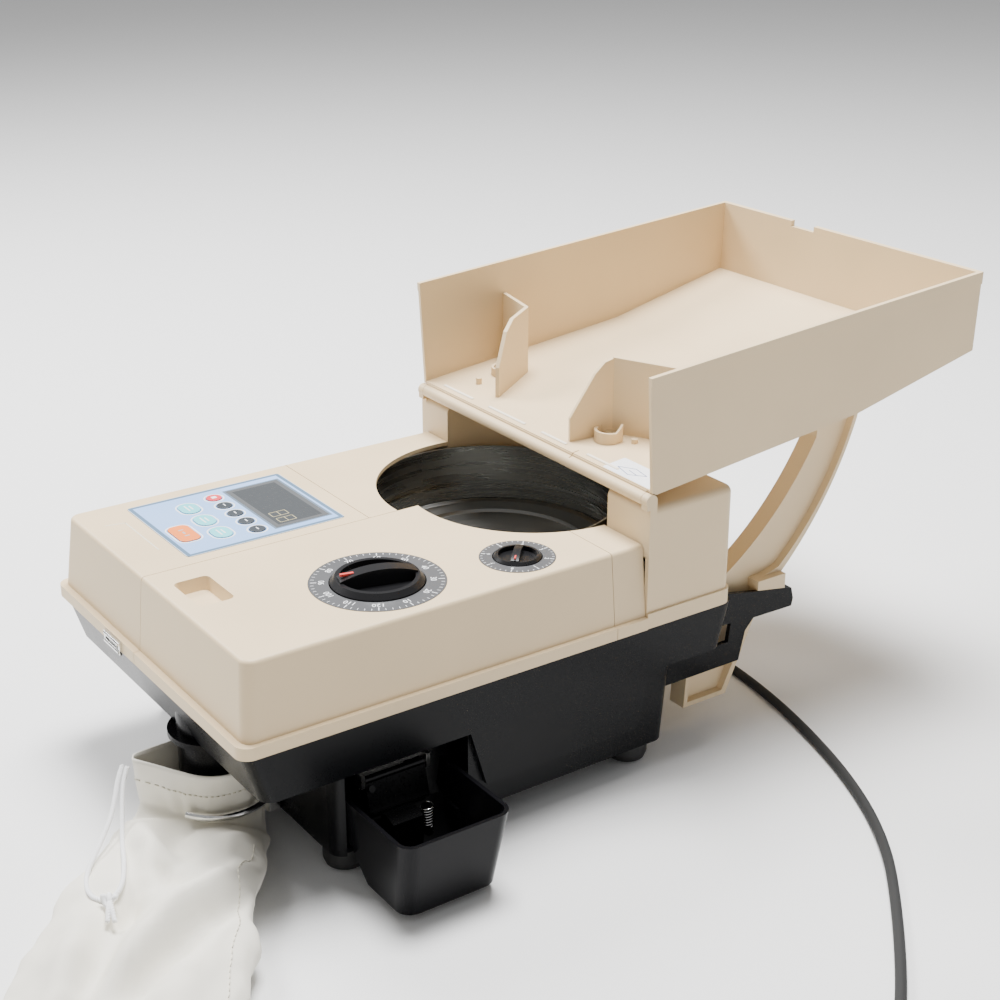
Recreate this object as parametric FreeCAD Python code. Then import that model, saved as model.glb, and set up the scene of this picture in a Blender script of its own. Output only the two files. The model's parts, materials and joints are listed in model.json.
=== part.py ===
import FreeCAD, Part
import math
import os

# A bench-top coin sorting machine with a tilting hopper tray, a reject cup and a coin bag.
# Millimetres.  The origin is on the bench, midway between the four feet; x runs to the
# right of the operator, y to the back and z up.

V = FreeCAD.Vector

# levels of the casing
FOOT_Z = 14.5
PEDESTAL_TOP_Z = 66.0
PARTING_Z = 95.5
FLANGE_Z = 103.0
DECK_Z = 147.0
COLUMN_Z = 171.0

# plan of the casing
HALF_WIDTH = 120.5
FLANGE_HALF = 122.5
COVER_FOOT_HALF = 119.6
COVER_DECK_HALF = 115.0
PEDESTAL_HALF = 117.0
TUB_FRONT_Y = -165.0
TUB_REAR_Y = 164.0
FLANGE_FRONT_Y = -168.0
COVER_FRONT_Y = -164.0
DECK_FRONT_Y = -159.5
PEDESTAL_FRONT_Y = -113.0
PEDESTAL_REAR_Y = 121.0
COLUMN_FRONT_Y = 95.0
COLUMN_REAR_Y = 159.5
WALL = 3.0
COVER_WALL = 2.6
SEAM = 0.4

# feet
FOOT_X = 100.7
FOOT_Y = 99.0
FOOT_R = 12.5

# hopper bowl and feed disc
BOWL_X = -7.0
BOWL_Y = 73.0
BOWL_R = 80.0
DISC_R = 79.2
DISC_Z = 104.0
SHAFT_R = 6.0
RUNNING_GAP = 0.05
PLATE_Z = 96.5
PLATE_T = 2.0

# drive
DRIVE_Z = 61.0
DRIVE_BELT_W = 8.0
DISC_PULLEY_R = 32.0
MOTOR_PULLEY_R = 12.0
MOTOR_X = -7.0
MOTOR_Y = -22.0
BELT_T = 1.5
BELT_GAP = 0.3

# coin track and transport belt
TRACK_X = 28.0
ROLLER_Z = 114.0
ROLLER_R = 7.0
FRONT_ROLLER_Y = -112.0
REAR_ROLLER_Y = -24.0

# coin spout, bag clamp and bag
SPOUT_Y = -140.0
SPOUT_R = 20.0
SPOUT_BOTTOM_Z = 22.0
CLAMP_R = 29.5
CLAMP_WIRE_R = 2.2

# control panel
PANEL = (-103.3, -17.7, -127.1, -24.5)
WINDOW = (-93.7, -26.8, -65.9, -30.6)
KEY_ROW_Y = -76.2
KEY_FIRST_X = -88.4
KEY_PITCH = 14.3
OVAL_ROW_Y = -96.0
OVAL_FIRST_X = -81.5
OVAL_PITCH = 21.45
START_KEY = (-49.3, -114.5)

# dials: x, y, ring radius, knob radius
DIAMETER_DIAL = (69.9, -55.2, 38.1, 26.3)
THICKNESS_DIAL = (87.0, 26.5, 21.8, 13.8)
DIAMETER_SET_DEG = 76.0
THICKNESS_SET_DEG = 137.0

# tray
HINGE_Y = 96.0
HINGE_Z = 175.3
NOSE_R = 4.0
HINGE_ROD_R = 2.0
TRAY_WALL = 3.0
ARM_X = 92.5
ARM_HALF = 6.5
GUIDE_GAP = 1.5
GUIDE_PLATE = 3.0

# reject cup
CUP_REAR_X = 106.0
CUP_RIM_Z = 49.0
CUP_WALL = 2.5

# power cord
CORD_R = 3.0
COIL_X = 424.0
COIL_Y = -22.0
COIL_IN_R = 25.0
COIL_OUT_R = 43.0
COIL_H = 12.0


# ---------------------------------------------------------------- helpers

def box(x0, x1, y0, y1, z0, z1):
    return Part.makeBox(x1 - x0, y1 - y0, z1 - z0, V(x0, y0, z0))


def cyl(x, y, z0, z1, r):
    return Part.makeCylinder(r, z1 - z0, V(x, y, z0))


def bar(start, end, r):
    a, b = V(*start), V(*end)
    return Part.makeCylinder(r, (b - a).Length, a, b - a)


def rounded_wire(x0, x1, y0, y1, z, r):
    """A rectangle with four round corners, as one closed wire."""
    corners = [(x1 - r, y0 + r, -90), (x1 - r, y1 - r, 0), (x0 + r, y1 - r, 90), (x0 + r, y0 + r, 180)]
    arcs = []
    for cx, cy, turn in corners:
        at = [V(cx + r * math.cos(math.radians(turn + a)), cy + r * math.sin(math.radians(turn + a)), z)
              for a in (0, 45, 90)]
        arcs.append((at, Part.Arc(*at).toShape()))
    edges = []
    for i, (at, arc) in enumerate(arcs):
        edges.append(arc)
        edges.append(Part.makeLine(at[2], arcs[(i + 1) % 4][0][0]))
    return Part.Wire(edges)


def slab(x0, x1, y0, y1, z0, z1, r):
    face = Part.Face(rounded_wire(x0, x1, y0, y1, z0, r))
    return face.extrude(V(0, 0, z1 - z0))


def frustum(low, low_z, high, high_z, r):
    wires = [rounded_wire(*low, low_z, r), rounded_wire(*high, high_z, r)]
    return Part.makeLoft(wires, True, True)


def prism(points, place, vector):
    wire = Part.makePolygon([place(a, b) for a, b in points + points[:1]])
    return Part.Face(wire).extrude(vector)


def prism_x(points, x0, x1):
    """An outline in y and z, carried along x."""
    return prism(points, lambda y, z: V(x0, y, z), V(x1 - x0, 0, 0))


def prism_y(points, y0, y1):
    """An outline in x and z, carried along y."""
    return prism(points, lambda x, z: V(x, y0, z), V(0, y1 - y0, 0))


def lathe(x, y, points):
    """An outline of radius and height, turned about a vertical axis."""
    wire = Part.makePolygon([V(x + r, y, z) for r, z in points + points[:1]])
    return Part.Face(wire).revolve(V(x, y, 0), V(0, 0, 1), 360)


def lathe_x(y, z, points):
    """An outline of x and radius, turned about a horizontal axis along x."""
    wire = Part.makePolygon([V(x, y, z + r) for x, r in points + points[:1]])
    return Part.Face(wire).revolve(V(0, y, z), V(1, 0, 0), 360)


def join(first, *others):
    shape = first
    for other in others:
        shape = shape.fuse(other)
    return shape.removeSplitter()


def soften(shape, r, chosen):
    edges = [e for e in shape.Edges if chosen(e)]
    return shape.makeFillet(r, edges) if edges else shape


def level_edge(z):
    """A test for edges that lie at one height."""
    return lambda e: abs(e.BoundBox.ZMin - z) < 0.01 and abs(e.BoundBox.ZMax - z) < 0.01


def mirror_x(shape):
    return shape.mirror(V(0, 0, 0), V(1, 0, 0))


def belt_outline(a, ra, b, rb):
    """A closed outline round two circles in a plane: a list of edges in 2-D points."""
    dx, dy = b[0] - a[0], b[1] - a[1]
    heading = math.atan2(dy, dx)
    lean = math.acos((ra - rb) / math.hypot(dx, dy))

    def on(c, r, angle):
        return (c[0] + r * math.cos(angle), c[1] + r * math.sin(angle))

    up, down = heading + lean, heading - lean
    return (on(a, ra, up), on(a, ra, heading + math.pi), on(a, ra, down),
            on(b, rb, down), on(b, rb, heading), on(b, rb, up))


def belt_face(a, ra, b, rb, place):
    p = [place(*q) for q in belt_outline(a, ra, b, rb)]
    edges = [Part.Arc(p[0], p[1], p[2]).toShape(), Part.makeLine(p[2], p[3]),
             Part.Arc(p[3], p[4], p[5]).toShape(), Part.makeLine(p[5], p[0])]
    return Part.Face(Part.Wire(edges))


def belt(a, ra, b, rb, place, vector):
    """A flat belt that runs round two pulleys with a small gap."""
    outer = belt_face(a, ra + BELT_GAP + BELT_T, b, rb + BELT_GAP + BELT_T, place)
    inner = belt_face(a, ra + BELT_GAP, b, rb + BELT_GAP, place)
    return outer.cut(inner).extrude(vector)


def route_tube(points, r, name):
    """A round tube along straight runs joined by tangent arcs, as large as the runs allow."""
    pts = [V(*p) for p in points]
    edges = []
    radii = []
    start = pts[0]
    for before, at, after in zip(pts, pts[1:], pts[2:]):
        u, w = at - before, after - at
        turn = u.getAngle(w)
        back = 0.45 * min(u.Length, w.Length)
        radii.append(back / math.tan(turn / 2))
        a = at - u.normalize() * back
        b = at + w.normalize() * back
        inward = ((a + b) * 0.5 - at).normalize()
        centre = at + inward * (radii[-1] / math.cos(turn / 2))
        middle = centre + (at - centre).normalize() * radii[-1]
        edges.append(Part.makeLine(start, a))
        edges.append(Part.Arc(a, middle, b).toShape())
        start = b
    edges.append(Part.makeLine(start, pts[-1]))
    path = Part.Wire(edges)
    ring = Part.Wire([Part.Circle(pts[0], pts[1] - pts[0], r).toShape()])
    solid = path.makePipeShell([ring], True, False)
    wanted = math.pi * r * r * path.Length
    print(name, "radii", [round(x) for x in radii], "length", round(path.Length),
          "volume ratio", round(solid.Volume / wanted, 4))
    return solid


# ---------------------------------------------------------------- base

def tub_outer():
    low = (-HALF_WIDTH, HALF_WIDTH, -156.0, 155.5)
    high = (-HALF_WIDTH, HALF_WIDTH, TUB_FRONT_Y, TUB_REAR_Y)
    return frustum(low, PEDESTAL_TOP_Z, high, PARTING_Z, 8)


def pedestal_outer():
    low = (-PEDESTAL_HALF, PEDESTAL_HALF, PEDESTAL_FRONT_Y, 116.0)
    high = (-PEDESTAL_HALF, PEDESTAL_HALF, PEDESTAL_FRONT_Y, PEDESTAL_REAR_Y)
    return frustum(low, FOOT_Z, high, PEDESTAL_TOP_Z, 9)


def side_pad():
    """The raised side surface that carries the skirt down over the pedestal."""
    outline = [(111, PEDESTAL_TOP_Z), (97.6, 63.7), (92.6, 34.2), (89, 30.6), (-17.8, 30.5),
               (-28.2, PEDESTAL_TOP_Z)]
    return prism_x(outline, 110, HALF_WIDTH)


def base_outer():
    pad = side_pad()
    return join(tub_outer(), pedestal_outer(), pad, mirror_x(pad))


def base_chassis():
    shell = base_outer()
    shell = shell.cut(box(95.5, 130, -106.5, -28, 0, PEDESTAL_TOP_Z))
    tub_void = frustum((-117.5, 117.5, -153, 152.5), 69, (-117.5, 117.5, -162, 161), 97, 6)
    low_void = slab(-114, 114, -110, 113, FOOT_Z + WALL, 70, 6)
    low_void = low_void.cut(box(92.5, 130, PEDESTAL_FRONT_Y, -25, 0, 69))
    shell = shell.cut(tub_void).cut(low_void)
    shelf = slab(90, 114, PEDESTAL_FRONT_Y, -86, FOOT_Z, FOOT_Z + WALL, 6)
    shell = shell.fuse(shelf)
    shell = shell.cut(cyl(TRACK_X, SPOUT_Y, 60, 70, SPOUT_R + 0.2))
    shell = shell.cut(box(90, 97, -86, -54, 33, 60))
    shell = shell.cut(bar((-20, 100, 38), (-20, 130, 38), 6.2))
    for x in (-105, 105):
        for y in (-143, 143):
            shell = shell.fuse(cyl(x, y, 67, PLATE_Z, 5))
    for x in (-70, 70):
        for y in (-100, 104):
            shell = shell.fuse(cyl(x, y, 16, PLATE_Z, 4))
    return shell


def base_plate():
    plate = slab(-80, 80, -84, 88, FOOT_Z - 1.5, FOOT_Z, 6)
    for i in range(9):
        plate = plate.cut(slab(-52 + 13 * i, -48 + 13 * i, -30, 30, 10, 16, 1.9))
    for x in (-72, 72):
        for y in (-76, 80):
            plate = plate.fuse(cyl(x, y, FOOT_Z - 3.3, FOOT_Z - 1.5, 3.4))
    return plate


def rubber_feet():
    profile = [(0, 0), (8.5, 0), (11.2, 1.6), (FOOT_R, 5), (FOOT_R, FOOT_Z), (0, FOOT_Z)]
    feet = [lathe(sx * FOOT_X, sy * FOOT_Y, profile) for sx in (-1, 1) for sy in (-1, 1)]
    return Part.makeCompound(feet)


# ---------------------------------------------------------------- covers

def cover_block():
    """The whole top casing before it is parted: a flange and a drafted box, hollow below."""
    flange = slab(-FLANGE_HALF, FLANGE_HALF, FLANGE_FRONT_Y, 120, PARTING_Z + 0.2, FLANGE_Z, 8)
    low = (-COVER_FOOT_HALF, COVER_FOOT_HALF, COVER_FRONT_Y, 120)
    high = (-COVER_DECK_HALF, COVER_DECK_HALF, DECK_FRONT_Y, 120)
    body = frustum(low, FLANGE_Z, high, DECK_Z, 7)
    body = soften(body, 2.6, level_edge(DECK_Z))
    w = COVER_WALL
    low_in = (-COVER_FOOT_HALF + w, COVER_FOOT_HALF - w, COVER_FRONT_Y + w, 130)
    high_in = (-COVER_DECK_HALF + w, COVER_DECK_HALF - w, DECK_FRONT_Y + w, 130)
    void = frustum(low_in, PARTING_Z, high_in, DECK_Z - w, 5)
    block = flange.fuse(body).cut(void)
    return block.common(box(-130, 130, -170, COLUMN_FRONT_Y - 0.3, 90, 150))


SEAM_X = -8.5
LEFT_SEAM_Y = -13.7
RIGHT_SEAM_Y = 72.2


def left_side(y0, y1):
    part = cover_block().common(box(-130, SEAM_X - SEAM / 2, y0, y1, 90, 150))
    return part.cut(cyl(-12, 84.2, 90, 150, 78.2))


def left_cover():
    cover = left_side(-170, LEFT_SEAM_Y - SEAM / 2)
    x0, x1, y0, y1 = PANEL
    cover = cover.cut(slab(x0 - 0.2, x1 + 0.2, y0 - 0.2, y1 + 0.2, DECK_Z - 1.2, DECK_Z + 1, 3.2))
    return cover.cut(box(-95.5, -25, -123, -29, 140, 150))


def left_rear_cover():
    return left_side(LEFT_SEAM_Y + SEAM / 2, 100)


def right_block():
    part = cover_block().common(box(SEAM_X + SEAM / 2, 130, -170, 100, 90, 150))
    return part.cut(cyl(1.2, 98, 90, 150, 78.2))


def right_cover():
    cover = right_block().common(box(-130, 130, -170, RIGHT_SEAM_Y - SEAM / 2, 90, 150))
    for x, y, ring, knob in (DIAMETER_DIAL, THICKNESS_DIAL):
        cover = cover.cut(cyl(x, y, DECK_Z - 1.4, 150, ring + 0.15))
        cover = cover.cut(cyl(x, y, 140, 150, knob + 1.2))
    pocket = slab(7.2, 46, -151.3, -126.2, DECK_Z - 14, DECK_Z - COVER_WALL, 5)
    recess = frustum((10.8, 42.4, -147.7, -129.8), DECK_Z - 7.5, (9.2, 44, -149.3, -128.2),
                     DECK_Z + 0.01, 3.6)
    return cover.fuse(pocket).cut(recess)


def right_rear_strip():
    return right_block().common(box(-130, 130, RIGHT_SEAM_Y + SEAM / 2, 100, 90, 150))


def rear_column():
    """The rear casing: two hollow legs that carry the tray, and the wall behind the bowl."""
    cx, cy, r = -4.0, 86.0, 86.0
    low_z = PARTING_Z + 0.2
    outer = slab(-HALF_WIDTH, HALF_WIDTH, 60, COLUMN_REAR_Y, low_z, COLUMN_Z, 6.5)
    outer = outer.common(box(-130, 130, COLUMN_FRONT_Y, 170, 90, 180))
    outer = soften(outer, 4.5, level_edge(COLUMN_Z))
    edge = HALF_WIDTH + 1.4
    band = slab(-edge, edge, 60, COLUMN_REAR_Y + 1.4, low_z, 105.3, 7.9)
    outer = outer.fuse(band.common(box(-130, 130, COLUMN_FRONT_Y, 170, 90, 180)))
    hole = cyl(cx, cy, 90, 180, r).common(box(-130, 130, 60, COLUMN_REAR_Y - WALL, 90, 180))
    ring = cyl(cx, cy, 138, 169, r + WALL)
    low_void = box(-117.5, 117.5, 90, COLUMN_REAR_Y - WALL, 90, 140)
    leg_void = box(-117.5, 117.5, COLUMN_FRONT_Y + WALL, COLUMN_REAR_Y - WALL, 139, COLUMN_Z - WALL)
    column = outer.cut(hole).cut(low_void).cut(leg_void.cut(ring))
    column = column.cut(cyl(BOWL_X, BOWL_Y, 114, 124, 84.5))
    for side in (-1, 1):
        x0, x1 = sorted((side * 115.2, side * HALF_WIDTH))
        ear = box(x0, x1, HINGE_Y - 3.4, HINGE_Y + 4, 165, HINGE_Z)
        ear = ear.cut(box(x0, x1, 80, COLUMN_FRONT_Y, 160, 170))
        ear = ear.fuse(bar((x0, HINGE_Y, HINGE_Z), (x1, HINGE_Y, HINGE_Z), NOSE_R))
        column = column.fuse(ear)
    return column.cut(bar((-118, HINGE_Y, HINGE_Z), (118, HINGE_Y, HINGE_Z), HINGE_ROD_R))


def hinge_rod():
    return bar((-117.8, HINGE_Y, HINGE_Z), (117.8, HINGE_Y, HINGE_Z), HINGE_ROD_R)


def front_latch():
    """A small spring latch that holds the front of the covers down on the base."""
    back = box(-47, -25, -169.4, FLANGE_FRONT_Y, 94.2, 102.2)
    back = back.cut(box(-45, -27, -170, -168.6, 96.6, 99.2))
    upper = bar((-46, -169.2, 100.6), (-26, -169.2, 100.6), 1.1)
    lower = bar((-46, -169.2, 95.8), (-26, -169.2, 95.8), 1.1)
    return join(back, upper, lower)


# ---------------------------------------------------------------- control panel

PANEL_TOP_Z = DECK_Z + 0.2
PANEL_LOW_Z = DECK_Z - 1.2


def key_list():
    """Every key: its name, centre and half sizes."""
    keys = []
    names = ["stop_button"] + [f"batch_button_{i}" for i in range(1, 5)]
    for i, name in enumerate(names):
        keys.append((name, KEY_FIRST_X + KEY_PITCH * i, KEY_ROW_Y, 4.8, 4.8))
    for i in range(3):
        keys.append((f"mode_button_{i + 1}", OVAL_FIRST_X + OVAL_PITCH * i, OVAL_ROW_Y, 8.0, 5.8))
    keys.append(("start_button", *START_KEY, 12.0, 6.5))
    return keys


def key_body(x, y, a, b, z0, z1, gap=0.0):
    r = min(a, b) - 0.02 + gap
    if abs(a - b) < 0.01:
        return cyl(x, y, z0, z1, a + gap)
    r = min(r, 4.5 + gap) if a > 10 else r
    return slab(x - a - gap, x + a + gap, y - b - gap, y + b + gap, z0, z1, r)


def control_panel():
    x0, x1, y0, y1 = PANEL
    panel = slab(x0, x1, y0, y1, PANEL_LOW_Z, PANEL_TOP_Z, 3)
    wx0, wx1, wy0, wy1 = WINDOW
    panel = panel.cut(box(wx0, wx1, wy0, wy1, 140, 150))
    for _name, x, y, a, b in key_list():
        panel = panel.cut(key_body(x, y, a, b, 140, 150, 0.25))
    return panel


def display_window():
    return box(*WINDOW, PANEL_LOW_Z, PANEL_TOP_Z + 0.1)


def key_cap(x, y, a, b):
    top = key_body(x, y, a, b, 143, PANEL_TOP_Z + 0.6)
    top = soften(top, 0.4, level_edge(PANEL_TOP_Z + 0.6))
    rim = key_body(x, y, a, b, 143, 144.6, 0.9)
    return join(top, rim, cyl(x, y, 141.9, 143.5, 2.2))


def key_board():
    """The circuit board under the panel, with a dome switch for every key and the display unit."""
    board = box(-101, -20, -124.5, -27, 138.6, 140.2)
    for _name, x, y, _a, _b in key_list():
        board = board.fuse(cyl(x, y, 140.2, 141.3, 2.6))
    for x in (-98.8, -22.2):
        for y in (-122.0, -27.8):
            board = board.fuse(cyl(x, y, 140.2, DECK_Z - COVER_WALL, 1.2))
    return board.fuse(slab(-92, -29, -64.5, -32, 140.2, PANEL_LOW_Z, 1))


# ---------------------------------------------------------------- dials

def dial_plate(x, y, ring, knob):
    plate = cyl(x, y, DECK_Z - 1.4, DECK_Z + 0.2, ring)
    return plate.cut(cyl(x, y, 140, 150, knob + 0.6))


def dial_knob(x, y, _ring, r, turned):
    """A bevelled knob with two pockets that leave a crowned grip bar between them."""
    top = DECK_Z + 0.14 * r
    low = DECK_Z - 2.2
    body = lathe(x, y, [(0, low), (r, low), (r, top - 0.11 * r), (0.9 * r, top), (0, top)])
    grip = box(x - 0.84 * r, x + 0.84 * r, y - 0.16 * r, y + 0.16 * r, low, top + 0.3 * r)
    crown_r = 2.4 * r
    crown = bar((x, y - r, top + 0.19 * r - crown_r), (x, y + r, top + 0.19 * r - crown_r), crown_r)
    grip = grip.common(crown)
    middle = box(x - r, x + r, y - 0.16 * r, y + 0.16 * r, 100, 200)
    pocket = cyl(x, y, DECK_Z - 0.8, top + 1, 0.8 * r).cut(middle)
    stem = cyl(x, y, 124, low + 1, 3)
    knob = join(body.cut(pocket), grip, stem)
    knob.rotate(V(x, y, 0), V(0, 0, 1), turned)
    return knob


def dial_switches():
    """The two rotary switches under the dials, hung from the deck by their brackets."""
    parts = []
    for x, y, _ring, knob in (DIAMETER_DIAL, THICKNESS_DIAL):
        body = slab(x - 11, x + 11, y - 11, y + 11, 118, 136, 3)
        for side in (-1, 1):
            x0, x1 = sorted((x + side * 9, x + side * (knob + 4)))
            body = body.fuse(box(x0, x1, y - 4, y + 4, 134.5, 136))
            x0, x1 = sorted((x + side * (knob + 2.5), x + side * (knob + 4)))
            body = body.fuse(box(x0, x1, y - 4, y + 4, 134.5, DECK_Z - COVER_WALL))
        parts.append(body.cut(cyl(x, y, 122, 140, 3 + RUNNING_GAP)))
    return Part.makeCompound(parts)


# ---------------------------------------------------------------- feed mechanism

def mechanism_plate():
    """The metal deck that carries the mechanism, with the shaft's bearing housing cast below it."""
    plate = slab(-112, 112, -150, 150, PLATE_Z, PLATE_Z + PLATE_T, 8)
    plate = plate.fuse(cyl(BOWL_X, BOWL_Y, 73, PLATE_Z, 15)).fuse(cyl(BOWL_X, BOWL_Y, 91.5, PLATE_Z, 26))
    plate = plate.cut(cyl(BOWL_X, BOWL_Y, 70, 100, SHAFT_R + RUNNING_GAP))
    plate = plate.cut(cyl(TRACK_X, SPOUT_Y, 90, 100, SPOUT_R + 0.2))
    return plate.cut(box(48, 84, -86, -54, 90, 100))


def hopper_bowl():
    r = BOWL_R
    z = PLATE_Z + PLATE_T
    inner = [(r, 144.2), (r, 121), (r + 3, 121), (r + 3, 117), (r - 0.4, 117), (r - 0.4, z + 1.5),
             (64, z + 1.5)]
    outer = [(64, z), (r + 1, z), (r + 1, 115.6), (r + 4.2, 115.6), (r + 4.2, 122.4), (r + 1.2, 122.4),
             (r + 1.2, 144.2)]
    return lathe(BOWL_X, BOWL_Y, inner + outer)


def feed_disc():
    """The turning floor of the bowl, with a raised outer ring and a round cap at its middle."""
    low = PLATE_Z + PLATE_T + 1.8
    disc = lathe(BOWL_X, BOWL_Y, [(0, low), (DISC_R, low), (DISC_R, DISC_Z + 3.4), (76, DISC_Z + 2.2),
                                  (63.5, DISC_Z + 2), (62.5, DISC_Z), (0, DISC_Z)])
    cap = lathe(BOWL_X, BOWL_Y, [(0, DISC_Z), (14, DISC_Z), (12.5, DISC_Z + 2.5), (7, DISC_Z + 5),
                               (0, DISC_Z + 6)])
    disc = join(disc, cap)
    return disc.cut(cyl(BOWL_X, BOWL_Y, 95, DISC_Z - 0.5, SHAFT_R))


def disc_shaft():
    shaft = cyl(BOWL_X, BOWL_Y, 56, DISC_Z - 0.5, SHAFT_R)
    return shaft.fuse(cyl(BOWL_X, BOWL_Y, 53.5, 56, SHAFT_R + 2))


def pulley(x, y, r, bore):
    profile = [(bore, DRIVE_Z - 2), (r + 2.6, DRIVE_Z - 2), (r + 2.6, DRIVE_Z - 0.6), (r, DRIVE_Z - 0.6),
               (r, DRIVE_Z + DRIVE_BELT_W + 0.6), (r + 2.6, DRIVE_Z + DRIVE_BELT_W + 0.6),
               (r + 2.6, DRIVE_Z + DRIVE_BELT_W + 2), (bore, DRIVE_Z + DRIVE_BELT_W + 2)]
    return lathe(x, y, profile)


def disc_pulley():
    return pulley(BOWL_X, BOWL_Y, DISC_PULLEY_R, SHAFT_R)


def motor_pulley():
    wheel = pulley(MOTOR_X, MOTOR_Y, MOTOR_PULLEY_R, 3)
    return wheel.fuse(cyl(MOTOR_X, MOTOR_Y, 40, DRIVE_Z + DRIVE_BELT_W + 4, 3))


def motor():
    body = cyl(MOTOR_X, MOTOR_Y, FOOT_Z + WALL + 2.5, 55, 27)
    body = soften(body, 3, level_edge(55))
    foot = slab(MOTOR_X - 34, MOTOR_X + 34, MOTOR_Y - 34, MOTOR_Y + 34, FOOT_Z + WALL,
                FOOT_Z + WALL + 2.5, 6)
    return body.fuse(foot).cut(cyl(MOTOR_X, MOTOR_Y, 39.5, 60, 3 + RUNNING_GAP))


def drive_belt():
    z = DRIVE_Z
    return belt((BOWL_X, BOWL_Y), DISC_PULLEY_R, (MOTOR_X, MOTOR_Y), MOTOR_PULLEY_R,
                lambda x, y: V(x, y, z), V(0, 0, DRIVE_BELT_W))


def coin_track():
    """The channel from the disc to the spout, with roller cheeks and a bridge for the coin sensor."""
    z = PLATE_Z + PLATE_T
    floor = box(TRACK_X - 17, TRACK_X + 17, SPOUT_Y + 22, -12, z, z + 2)
    track = floor
    for side in (-1, 1):
        x0, x1 = sorted((TRACK_X + side * 14, TRACK_X + side * 17))
        track = track.fuse(box(x0, x1, SPOUT_Y + 22, -12, z, z + 9))
        for y in (FRONT_ROLLER_Y, REAR_ROLLER_Y):
            track = track.fuse(box(x0, x1, y - 6, y + 6, z, ROLLER_Z + 5))
    for y in (FRONT_ROLLER_Y, REAR_ROLLER_Y):
        hole = bar((TRACK_X - 20, y, ROLLER_Z), (TRACK_X + 20, y, ROLLER_Z), 2.5 + RUNNING_GAP)
        track = track.cut(hole)
    sensor = box(TRACK_X - 17, TRACK_X + 17, -104, -96, z + 9, z + 12)
    track = track.fuse(sensor).fuse(box(TRACK_X - 23, TRACK_X - 17, -104, -96, z, z + 18))
    return track.cut(box(TRACK_X + 13, TRACK_X + 20, -86, -54, z + 2, z + 12))


def roller(y):
    half = 5.5
    ends = 19.5
    return lathe_x(y, ROLLER_Z, [
        (TRACK_X - ends, 0), (TRACK_X - ends, 2.5), (TRACK_X - half - 1, 2.5),
        (TRACK_X - half - 1, ROLLER_R + 1),
        (TRACK_X - half, ROLLER_R + 1), (TRACK_X - half, ROLLER_R), (TRACK_X + half, ROLLER_R),
        (TRACK_X + half, ROLLER_R + 1), (TRACK_X + half + 1, ROLLER_R + 1), (TRACK_X + half + 1, 2.5),
        (TRACK_X + ends, 2.5), (TRACK_X + ends, 0)])


def front_roller():
    return roller(FRONT_ROLLER_Y)


def rear_roller():
    return roller(REAR_ROLLER_Y)


def transport_belt():
    x = TRACK_X - 5
    return belt((REAR_ROLLER_Y, ROLLER_Z), ROLLER_R, (FRONT_ROLLER_Y, ROLLER_Z), ROLLER_R,
                lambda y, z: V(x, y, z), V(10, 0, 0))


def reject_chute():
    """A sloped tray that leads rejected coins from the track to the opening above the cup."""
    outline = [(50, 92), (50, 90), (92.4, 36), (92.4, 39.2)]
    chute = prism_y(outline, -85, -55)
    for y in (-85, -56.5):
        chute = chute.fuse(prism_y([(50, 96), (50, 90), (92.4, 36), (92.4, 50)], y, y + 1.5))
    return chute


def main_board():
    board = box(-108, -44, -104, -2, 24, 25.6).cut(cyl(-70, -100, 23, 27, 4.3))
    parts = [box(-100, -78, -96, -74, 25.6, 29), box(-72, -52, -92, -80, 25.6, 36),
             box(-102, -60, -20, -8, 25.6, 34), cyl(-60, -50, 25.6, 42, 6), cyl(-80, -50, 25.6, 38, 5)]
    for x in (-104, -48):
        for y in (-100, -6):
            parts.append(cyl(x, y, FOOT_Z + WALL, 24, 2.5))
    return join(board, *parts)


def power_supply():
    z = FOOT_Z + WALL
    case = box(-108, -46, 14, 98, z, 52)
    case = soften(case, 1.5, lambda e: e.BoundBox.ZLength > 20)
    for i in range(8):
        case = case.cut(box(-100, -54, 20 + 9.5 * i, 24 + 9.5 * i, 49, 53))
    return case


# ---------------------------------------------------------------- tray

TRAY_FLOOR = [(98.3, 178.4), (257.5, 195.2), (357.4, 217.4)]


def tray_solid():
    outline = TRAY_FLOOR + [(359.1, 268.5), (92.7, 249.0), (96.6, 180.0), (96.6, 178.2)]
    return prism_x(outline, -HALF_WIDTH, HALF_WIDTH)


def tray_inside():
    """The space above the tray's floor, open to the front and the top."""
    t = TRAY_WALL
    outline = [(80, 178.4 + t - 18.3 * 0.1055), (257.3, 195.2 + t), (354.3, 216.8 + t), (356.2, 280),
               (80, 280)]
    return outline


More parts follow.
